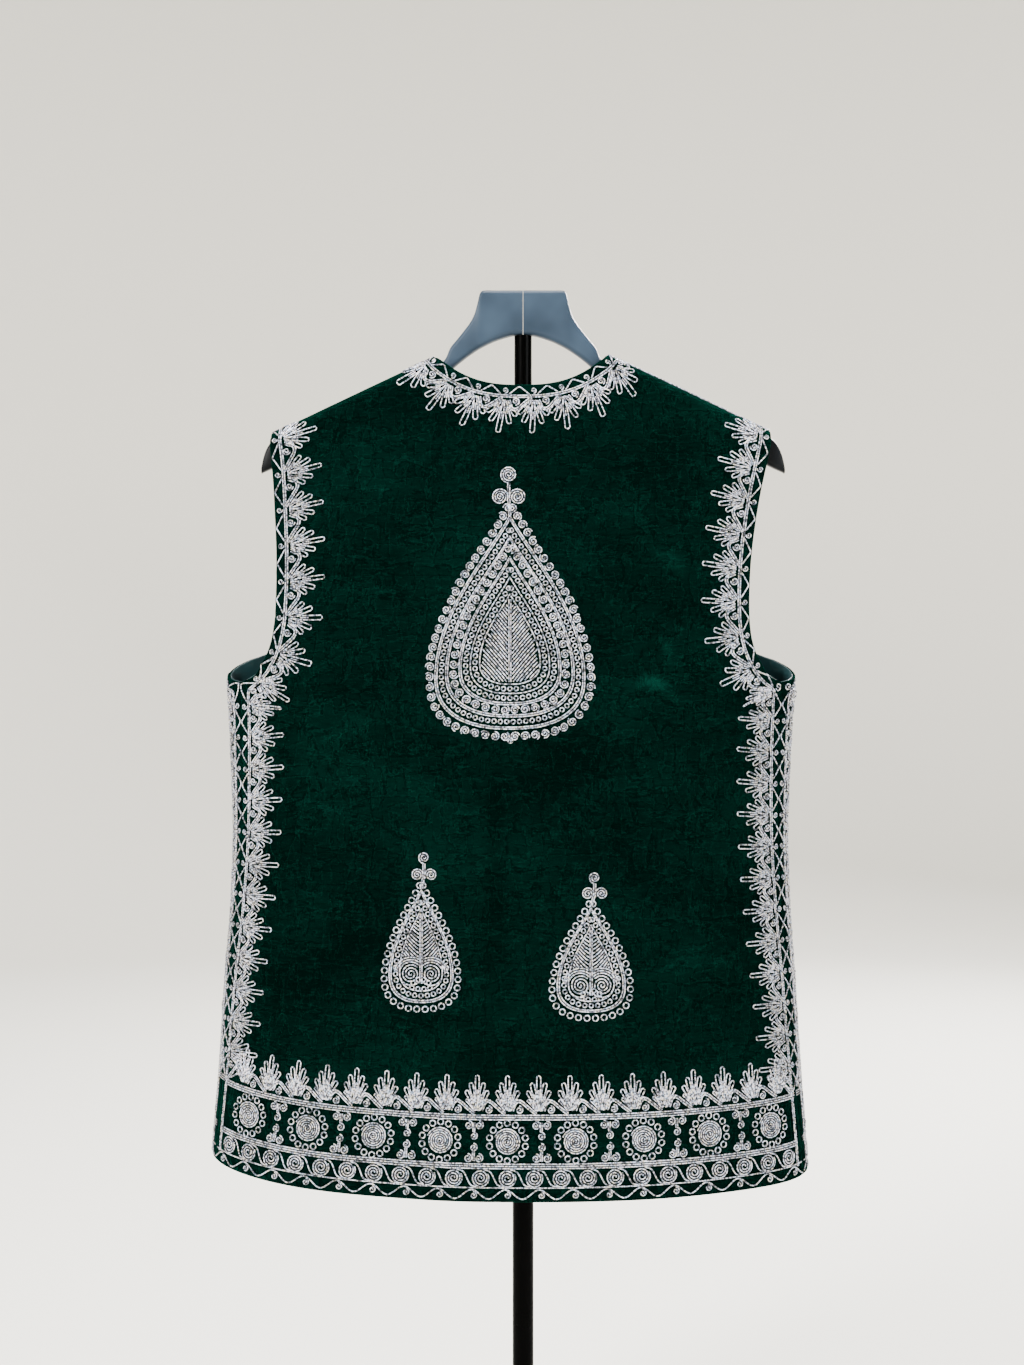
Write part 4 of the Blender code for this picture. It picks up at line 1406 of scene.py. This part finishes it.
def edge_strokes(length, pitch, size=1.0):
    """A side, armhole or neck border, in (along, inward) from its double line."""
    count = max(round(length / pitch), 1)
    pitch = length / count
    strokes = [line(0.0, length, 0.0, 3.5), line(0.0, length, 1.7, 3.5)]
    for k in range(count):
        x = (k + 0.5) * pitch
        strokes += palmette(x, 2.2, size, 5.0)
        strokes += disc(x, -4.1, 2.7)
    for k in range(count + 1):
        x = k * pitch
        strokes += leaning_arch(x, pitch, 2.0)
        reach = pitch / 2 - 3.6
        outer = ((-reach, -0.9), (-2.0, -6.4), (0.0, -7.2), (2.0, -6.4), (reach, -0.9))
        strokes.append(curve(*[(x + along, up) for along, up in outer], steps=2))
    return strokes


def resampled(path, step=0.002):
    """A flat path with even steps."""
    reach = lengths(path)
    count = max(int(reach[-1] / step), 8)
    at = np.linspace(0.0, reach[-1], count + 1)
    return np.stack([np.interp(at, reach, path[:, k]) for k in (0, 1)], axis=1)


def softened(path, spread):
    """A path or a field of directions smoothed along its length, with its ends kept."""
    if spread < 1:
        return path
    weights = np.exp(-np.linspace(-2, 2, 4 * spread + 1) ** 2)
    weights /= weights.sum()
    before = 2 * path[0] - path[1 : 2 * spread + 1][::-1]
    after = 2 * path[-1] - path[-2 * spread - 1 : -1][::-1]
    longer = np.concatenate((before, path, after))
    return np.stack([np.convolve(longer[:, k], weights, "valid") for k in (0, 1)], axis=1)


def ways_inward(path, flip):
    """The directions from a path into the cloth: to its left, or to its right if flipped."""
    ahead = np.gradient(path, axis=0)
    ahead /= np.linalg.norm(ahead, axis=1)[:, None]
    return np.stack((-ahead[:, 1], ahead[:, 0]), axis=1) * (-1 if flip else 1)


class Edge:
    """An edge of a panel on the flat cloth, with a baseline that lies inside it."""

    def __init__(self, flat, places, inset, spread, flip=False):
        self.flat = flat
        self.inset = inset
        self.outer = resampled(np.stack(flat.rolled(*places), axis=1))
        self.base = softened(self.outer + inset * ways_inward(self.outer, flip), spread)
        self.inward = softened(ways_inward(self.base, flip), 2 * spread)
        self.reach = lengths(self.base)
        self.length = self.reach[-1]

    def placed(self, strokes, start=0.0):
        """Strokes in millimetres, moved on to the flat cloth."""
        found = []
        for stroke in strokes:
            at = start + stroke[:, 0] * MM
            far = stroke[:, 1] * MM
            base = self.at(self.base, at)
            ahead = base + far[:, None] * self.at(self.inward, at)
            back = base + (-far / self.inset)[:, None] * (self.at(self.outer, at) - base)
            found.append(np.where(far[:, None] > 0, ahead, back))
        return found

    def at(self, field, place):
        """A field's values at distances along the baseline."""
        return np.stack([np.interp(place, self.reach, field[:, k]) for k in (0, 1)], axis=1)


def hem_border(edge):
    """A hem's border, measured from the panel's own edge."""
    margin = (0.0, edge.inset / MM)
    return edge.placed([stroke - margin for stroke in hem_strokes(edge.length / MM)])


def side_border(edge, low):
    """An edge's border: closer palmettes up to a turn, wider ones beyond, and bare lines below."""
    placed = edge.placed([line(9.0, BARE / MM, at, 3.5) for at in (0.0, 1.7)])
    placed += edge.placed(edge_strokes((low - BARE) / MM, SIDE_PALMETTE), BARE)
    return placed + edge.placed(edge_strokes((edge.length - low) / MM, ARM_PALMETTE), low)


def cord_runs(flat, strokes, angle, run, lift):
    """Strokes' points laid on the cloth, each stroke with its outward directions."""
    counts = np.cumsum([len(stroke) for stroke in strokes])[:-1]
    points = flat.laid(angle, run, np.full(len(angle), lift * bpy.context.scene.vest_cord.radius))
    return list(zip(np.split(points, counts), np.split(facing(angle, run), counts)))


def laid_runs(flat, strokes, lift=LIFT):
    """Flat strokes laid on the cloth."""
    angle, run = flat.unrolled(*np.concatenate(strokes).T)
    return cord_runs(flat, strokes, angle, run, lift)


def laid_teardrop(strokes, middle, foot):
    """A teardrop's strokes laid on the back."""
    across, up = np.concatenate(strokes).T * MM
    level = foot + up
    across = middle + across - smooth_rows(SECTIONS, level)[:, 1]
    angle = np.copysign(angle_at(np.abs(across), level), across)
    return cord_runs(BACK, strokes, angle, run_at(angle, level), LIFT)


# ---- settings ----


class VestClothSettings(bpy.types.PropertyGroup):
    """Sizes and colours of the cloth."""

    velvet_wall: bpy.props.FloatProperty(
        name="Velvet thickness", description="Thickness of the velvet", default=0.002, unit="LENGTH"
    )
    lining_wall: bpy.props.FloatProperty(
        name="Lining thickness", description="Thickness of the lining", default=0.001, unit="LENGTH"
    )
    # velvet_dark is also the painted shaded side of the wrinkle lines, and velvet_light the colour of
    # the crushed pile, the painted sheen and the painted lit sides
    velvet_dark: bpy.props.FloatVectorProperty(
        name="Velvet, lying pile", description="Colour of the velvet where its pile lies flat",
        default=(0.0, 0.0021, 0.0015), subtype="COLOR",
    )
    velvet_light: bpy.props.FloatVectorProperty(
        name="Velvet, crushed pile", description="Colour of the velvet where its pile is crushed",
        default=(0.0004, 0.0150, 0.0100), subtype="COLOR",
    )
    lining: bpy.props.FloatVectorProperty(
        name="Lining", description="Colour of the lining", default=(0.002, 0.021, 0.024),
        subtype="COLOR",
    )
    sheen: bpy.props.FloatProperty(
        name="Velvet sheen", description="How much the pile shines at its edges", default=0.22
    )


class VestCordSettings(bpy.types.PropertyGroup):
    """Sizes and colours of the cord."""

    radius: bpy.props.FloatProperty(
        name="Cord radius", description="Radius of the metal cord", default=0.00072, unit="LENGTH"
    )
    sides: bpy.props.IntProperty(name="Cord sides", description="Sides of the cord", default=4)
    cord: bpy.props.FloatVectorProperty(
        name="Cord", description="Colour of the metal cord", default=(0.50, 0.53, 0.57),
        subtype="COLOR",
    )


class VestStandSettings(bpy.types.PropertyGroup):
    """Colours of the stand."""

    wood: bpy.props.FloatVectorProperty(
        name="Hanger", description="Colour of the hanger head", default=(0.020, 0.032, 0.049),
        subtype="COLOR",
    )
    metal: bpy.props.FloatVectorProperty(
        name="Pole", description="Colour of the pole and base", default=(0.0002, 0.0002, 0.0002),
        subtype="COLOR",
    )


class VestStageSettings(bpy.types.PropertyGroup):
    """The light on the object."""

    power: bpy.props.FloatProperty(
        name="Light power", description="Power of the main light in watts", default=450.0
    )
    backdrop: bpy.props.FloatVectorProperty(
        name="Backdrop", description="Colour of the floor and backdrop", default=(0.79, 0.765, 0.70),
        subtype="COLOR",
    )


# ---- the stage ----

FLOOR_REACH = 4.2
SWEEP = 1.6  # radius of the curve from the floor up into the backdrop
LIT_PLACE = (0.0, 0.0, 0.75)
LIGHTS = (  # name, place, size, share of the power, colour
    ("main_light", (2.3, 3.0, 2.6), 0.9, 1.0, (1.0, 0.99, 0.97)),
    ("side_light", (-2.8, 2.0, 1.6), 1.6, 0.25, (0.94, 0.97, 1.0)),
    ("front_light", (-1.6, -3.2, 2.6), 1.1, 0.9, (1.0, 1.0, 1.0)),
    ("top_light", (0.0, 0.0, 3.9), 1.6, 0.6, (1.0, 1.0, 1.0)),
)
LENS = 54.07
SENSOR = 36.0
CAMERA_PLACE = (0.0094, 1.744, 0.787)


def circle(radius, level, sides):
    """Points round the pole's axis."""
    turns = [2 * math.pi * k / sides for k in range(sides)]
    return [(radius * math.cos(t), radius * math.sin(t), level) for t in turns]


# ---- operators ----


class VEST_OT_stage(bpy.types.Operator):
    """Build the floor, backdrop, lights and camera."""

    bl_idname = "vest.stage"
    bl_label = "Stage"

    def execute(self, context):
        settings = context.scene.vest_stage
        material, _, _ = new_material(
            "pale_backdrop", {"Roughness": 0.9, "Base Color": (*settings.backdrop, 1.0)}
        )
        profile = [(FLOOR_REACH * k / 8, 0.0) for k in range(1, 9)]
        profile += [
            (FLOOR_REACH + SWEEP * math.sin(turn), SWEEP - SWEEP * math.cos(turn))
            for turn in np.linspace(0.1, math.pi / 2, 10)
        ]
        profile += [(FLOOR_REACH + SWEEP, 2.6), (FLOOR_REACH + SWEEP, 4.2)]
        work = bmesh.new()
        rings = [[work.verts.new(point) for point in circle(*row, 96)] for row in profile]
        centre = work.verts.new((0.0, 0.0, 0.0))
        for k in range(96):
            after = (k + 1) % 96
            work.faces.new((centre, rings[0][k], rings[0][after]))
            for first, second in zip(rings, rings[1:]):
                work.faces.new((first[k], second[k], second[after], first[after]))
        mesh = bpy.data.meshes.new("backdrop")
        work.to_mesh(mesh)
        work.free()
        mesh.shade_smooth()
        mesh.materials.append(material)
        made = bpy.data.objects.new("backdrop", mesh)
        context.scene.collection.objects.link(made)
        for name, place, size, share, colour in LIGHTS:
            light = bpy.data.lights.new(name, "AREA")
            light.shape = "DISK"
            light.size = size
            light.energy = settings.power * share
            light.color = colour
            lamp = bpy.data.objects.new(name, light)
            context.scene.collection.objects.link(lamp)
            lamp.location = place
            x, y, z = np.array(LIT_PLACE) - np.array(place)
            lamp.rotation_euler = (math.atan2(math.hypot(x, y), -z), 0.0, math.atan2(-x, y))
        world = bpy.data.worlds.new("pale_room")
        world.use_nodes = True
        background = world.node_tree.nodes["Background"]
        background.inputs["Color"].default_value = (0.9, 0.92, 0.93, 1.0)
        background.inputs["Strength"].default_value = 0.30
        context.scene.world = world
        lens = bpy.data.cameras.new("camera")
        lens.lens = LENS
        lens.sensor_width = SENSOR
        camera = bpy.data.objects.new("camera", lens)
        context.scene.collection.objects.link(camera)
        camera.location = CAMERA_PLACE
        camera.rotation_euler = (math.pi / 2, 0.0, math.pi)
        context.scene.camera = camera
        return {"FINISHED"}


class VEST_OT_velvet(bpy.types.Operator):
    """Build the three velvet panels."""

    bl_idname = "vest.velvet"
    bl_label = "Velvet panels"

    def execute(self, context):
        wall = context.scene.vest_cloth.velvet_wall
        shell("velvet_back", BACK, fine_back(150, 196, 122), 0.0, -wall, "velvet", "back")
        for side, name in SIDES:
            grid = fine_front(side, 14, 70, 120, 72)
            shell(f"velvet_front_{name}", FRONT, grid, 0.0, -wall, "velvet", f"front_{name}")
        return {"FINISHED"}


class VEST_OT_lining(bpy.types.Operator):
    """Build the three linings."""

    bl_idname = "vest.lining"
    bl_label = "Linings"

    def execute(self, context):
        settings = context.scene.vest_cloth
        top = -settings.velvet_wall - GAP
        under = top - settings.lining_wall
        grid = fine_back(60, 44, 28)
        shell("satin_back", BACK, grid, top, under, "lining", "lining_back")
        for side, name in SIDES:
            grid = fine_front(side, 6, 28, 44, 26)
            node = f"lining_front_{name}"
            shell(f"satin_front_{name}", FRONT, grid, top, under, "lining", node)
        return {"FINISHED"}


class VEST_OT_back_borders(bpy.types.Operator):
    """Embroider the hem, sides, armholes and neck of the back."""

    bl_idname = "vest.back_borders"
    bl_label = "Back borders"

    def execute(self, context):
        hem = Edge(BACK, back_place(np.linspace(-1.0, 1.0, 240), np.zeros(240)), 0.010, 0)
        runs = laid_runs(BACK, hem_border(hem), HEM_LIFT)
        cord_piece("cord_back_hem", runs, "border_back")
        rises = np.concatenate((np.linspace(0.0, 1.0, 200), np.linspace(1.0, 2.0, 200)[1:]))
        for side, name in SIDES:
            places = back_place(np.full(len(rises), float(side)), rises)
            edge = Edge(BACK, places, 0.008, 6, flip=side < 0)
            cord_piece(f"cord_back_side_{name}", laid_runs(BACK, side_border(edge, SIDE_RISE)))
        neck_angle = angle_at(NECK_POINT, NECK_POINT_LEVEL)[0]
        angle = np.linspace(-neck_angle, neck_angle, 120)
        run = np.maximum(run_at(angle, neck_level(angle)), SEAM_RUN)
        edge = Edge(BACK, (angle, run), 0.009, 3, flip=True)
        strokes = edge_strokes(edge.length / MM, edge.length / MM / NECK_PALMETTES, 0.96)
        cord_piece("cord_back_neck", laid_runs(BACK, edge.placed(strokes)), "border_neck")
        tip_angle = angle_at(BACK_ARMHOLE[-1][1], ridge(BACK_ARMHOLE[-1][1]))[0]
        angle = -np.linspace(neck_angle + 0.02, tip_angle - 0.03, 60)
        runs = []
        for down in (0.0030, 0.0048):
            run = down + 0.0007 * np.sin(angle * 160.0)
            runs += cord_runs(BACK, [angle], angle, run, LIFT)
        cord_piece("cord_back_shoulder_right", runs)
        return {"FINISHED"}


class VEST_OT_teardrops(bpy.types.Operator):
    """Embroider the large teardrop and the two small ones."""

    bl_idname = "vest.teardrops"
    bl_label = "Teardrops"

    def execute(self, context):
        for name, middle, foot, top, half, lean in TEARDROPS:
            if name == "large":
                strokes = large_teardrop(lean)
            else:
                strokes = small_teardrop((top - foot) / MM, half / MM, lean)
            runs = laid_teardrop(strokes, middle, foot)
            cord_piece(f"cord_teardrop_{name}", runs, f"boteh_{name}")
        return {"FINISHED"}


class VEST_OT_front_borders(bpy.types.Operator):
    """Embroider the hem, side, armhole and front edge of each front."""

    bl_idname = "vest.front_borders"
    bl_label = "Front borders"

    def execute(self, context):
        shares = np.concatenate((np.linspace(-1, 0, 60), np.linspace(0, 1, 180)[1:]))
        rises = np.concatenate((np.linspace(0.0, 1.0, 160), np.linspace(1.0, 2.0, 160)[1:]))
        for side, name in SIDES:
            places = front_place(side, shares, np.zeros(len(shares)))
            hem = Edge(FRONT, [values[::side] for values in places], 0.010, 0)
            runs = laid_runs(FRONT, hem_border(hem))
            cord_piece(f"cord_front_hem_{name}", runs, f"border_front_{name}")
            up = front_place(side, np.full(160, -1.0), np.linspace(0.0, 1.0, 160))
            round_arm = front_place(side, np.linspace(-1.0, 0.0, 60)[1:], np.ones(59))
            over = front_place(side, np.zeros(160), np.linspace(1.0, 2.0, 161)[1:])
            outer = [np.concatenate(parts) for parts in zip(up, round_arm, over)]
            edge = Edge(FRONT, outer, 0.008, 6, flip=side > 0)
            cord_piece(f"cord_front_side_{name}", laid_runs(FRONT, side_border(edge, SIDE_RISE)))
            inner = front_place(side, np.ones(len(rises)), rises)
            edge = Edge(FRONT, inner, 0.008, 4, flip=side < 0)
            runs = laid_runs(FRONT, side_border(edge, V_POINT - HEM_BACK))
            cord_piece(f"cord_front_edge_{name}", runs)
        return {"FINISHED"}


class VEST_OT_cut(bpy.types.Operator):
    bl_idname = "vest.cut"
    bl_label = "Cut of the cloth"

    def execute(self, context):
        return {"FINISHED"}


def loft(name, rings, material, slot, *nodes):
    """A closed solid through rings of as many points, with flat ends."""
    work = bmesh.new()
    made = [[work.verts.new(point) for point in points] for points in rings]
    for first, second in zip(made, made[1:]):
        for k in range(len(first)):
            after = (k + 1) % len(first)
            work.faces.new((first[k], first[after], second[after], second[k]))
    work.faces.new(made[0])
    work.faces.new(made[-1])
    mesh = plain_mesh(name, work)
    mesh.set_sharp_from_angle(angle=math.radians(38))
    mesh.materials.append(material)
    add_piece(name, mesh, slot, *nodes)


def rounded_section(reach, top, bottom, half):
    """An upright rounded rectangle at a reach from the middle."""
    radius = min(HANGER_EDGE, 0.9 * half, 0.4 * (top - bottom))
    wide = half - radius
    corners = (
        (wide, top - radius),
        (-wide, top - radius),
        (-wide, bottom + radius),
        (wide, bottom + radius),
    )
    turns = [[(quarter + step / 7) * math.pi / 2 for step in range(8)] for quarter in range(4)]
    return [
        (reach, across + radius * math.cos(turn), level + radius * math.sin(turn))
        for (across, level), quarter in zip(corners, turns)
        for turn in quarter
    ]


def lathe(name, profile, sides, *nodes):
    """A solid turned about the pole's axis from (radius, level) points."""
    rings = [circle(radius, level, sides) for radius, level in profile]
    loft(name, rings, finish("black_painted_metal"), "stand_metal", *nodes)


def rounded_end(radius, level, soft, rising):
    """A turned profile's rounded corner at one end."""
    turns = [k / 5 * math.pi / 2 for k in range(6)]
    way = 1 if rising else -1
    return [
        (radius - soft + soft * math.sin(t), level + way * soft * (1 - math.cos(t))) for t in turns
    ][::way]


class VEST_OT_stand(bpy.types.Operator):
    """Build the hanger head, the poles with their collar, and the base."""

    bl_idname = "vest.stand"
    bl_label = "Stand"

    def execute(self, context):
        wood = finish("black_painted_wood")
        reaches = np.unique(
            np.concatenate(
                [np.linspace(a[0], b[0], 5) for a, b in zip(HANGER_SECTIONS, HANGER_SECTIONS[1:])]
            )
        )
        sections = np.column_stack((reaches, smooth_rows(HANGER_SECTIONS, reaches)))
        for side, name in SIDES:
            rings = [rounded_section(side * reach, *rest) for reach, *rest in sections]
            loft(f"wood_hanger_{name}", rings, wood, "hanger_wood", f"hanger_{name}")
        collar_top = POLE_JOINT + COLLAR_HEIGHT
        upper = ((UPPER_POLE_RADIUS, collar_top + GAP), (UPPER_POLE_RADIUS, POLE_TOP))
        lathe("metal_pole_upper", upper, POLE_SIDES, "pole_upper")
        collar = rounded_end(COLLAR_RADIUS, POLE_JOINT, 0.0020, True)
        collar += rounded_end(COLLAR_RADIUS, collar_top, 0.0020, False)
        lathe("metal_pole_collar", collar, POLE_SIDES, "pole_collar")
        lower = ((LOWER_POLE_RADIUS, BASE_TOP + GAP), (LOWER_POLE_RADIUS, POLE_JOINT - GAP))
        lathe("metal_pole_lower", lower, POLE_SIDES, "pole_lower")
        base = rounded_end(BASE_RADIUS, 0.0, 0.0020, True)
        base += rounded_end(BASE_RADIUS, BASE_THICK, 0.0045, False)
        base += [(BASE_BOSS_RADIUS + 0.0045, BASE_THICK)]
        base += [(BASE_BOSS_RADIUS + 0.0015, BASE_THICK + 0.0008)]
        base += [(BASE_BOSS_RADIUS, BASE_THICK + 0.0040)]
        base += rounded_end(BASE_BOSS_RADIUS, BASE_TOP, 0.0025, False)
        lathe("metal_stand_base", base, BASE_SIDES, "stand_base")
        return {"FINISHED"}


class VEST_PT_build(bpy.types.Panel):
    """Lists the steps that build the vest."""

    bl_label = "Embroidered velvet vest"
    bl_space_type = "VIEW_3D"
    bl_region_type = "UI"
    bl_category = "Vest"

    def draw(self, context):
        for step in STEPS:
            self.layout.operator(f"vest.{step}")


STEPS = ("stage", "velvet", "lining", "back_borders", "teardrops", "front_borders", "stand", "cut")
CLASSES = (
    VestClothSettings,
    VestCordSettings,
    VestStandSettings,
    VestStageSettings,
    VEST_OT_stage,
    VEST_OT_velvet,
    VEST_OT_lining,
    VEST_OT_back_borders,
    VEST_OT_teardrops,
    VEST_OT_front_borders,
    VEST_OT_stand,
    VEST_OT_cut,
    VEST_PT_build,
)


def register():
    """Register the classes and their settings."""
    for item in CLASSES:
        bpy.utils.register_class(item)
    scene = bpy.types.Scene
    scene.vest_cloth = bpy.props.PointerProperty(type=VestClothSettings)
    scene.vest_cord = bpy.props.PointerProperty(type=VestCordSettings)
    scene.vest_stand = bpy.props.PointerProperty(type=VestStandSettings)
    scene.vest_stage = bpy.props.PointerProperty(type=VestStageSettings)


def unregister():
    """Remove the classes and their settings."""
    for name in ("vest_cloth", "vest_cord", "vest_stand", "vest_stage"):
        delattr(bpy.types.Scene, name)
    for item in reversed(CLASSES):
        bpy.utils.unregister_class(item)


def main():
    """Build everything."""
    register()
    for step in STEPS:
        getattr(bpy.ops.vest, step)()


if __name__ == "__main__":
    main()
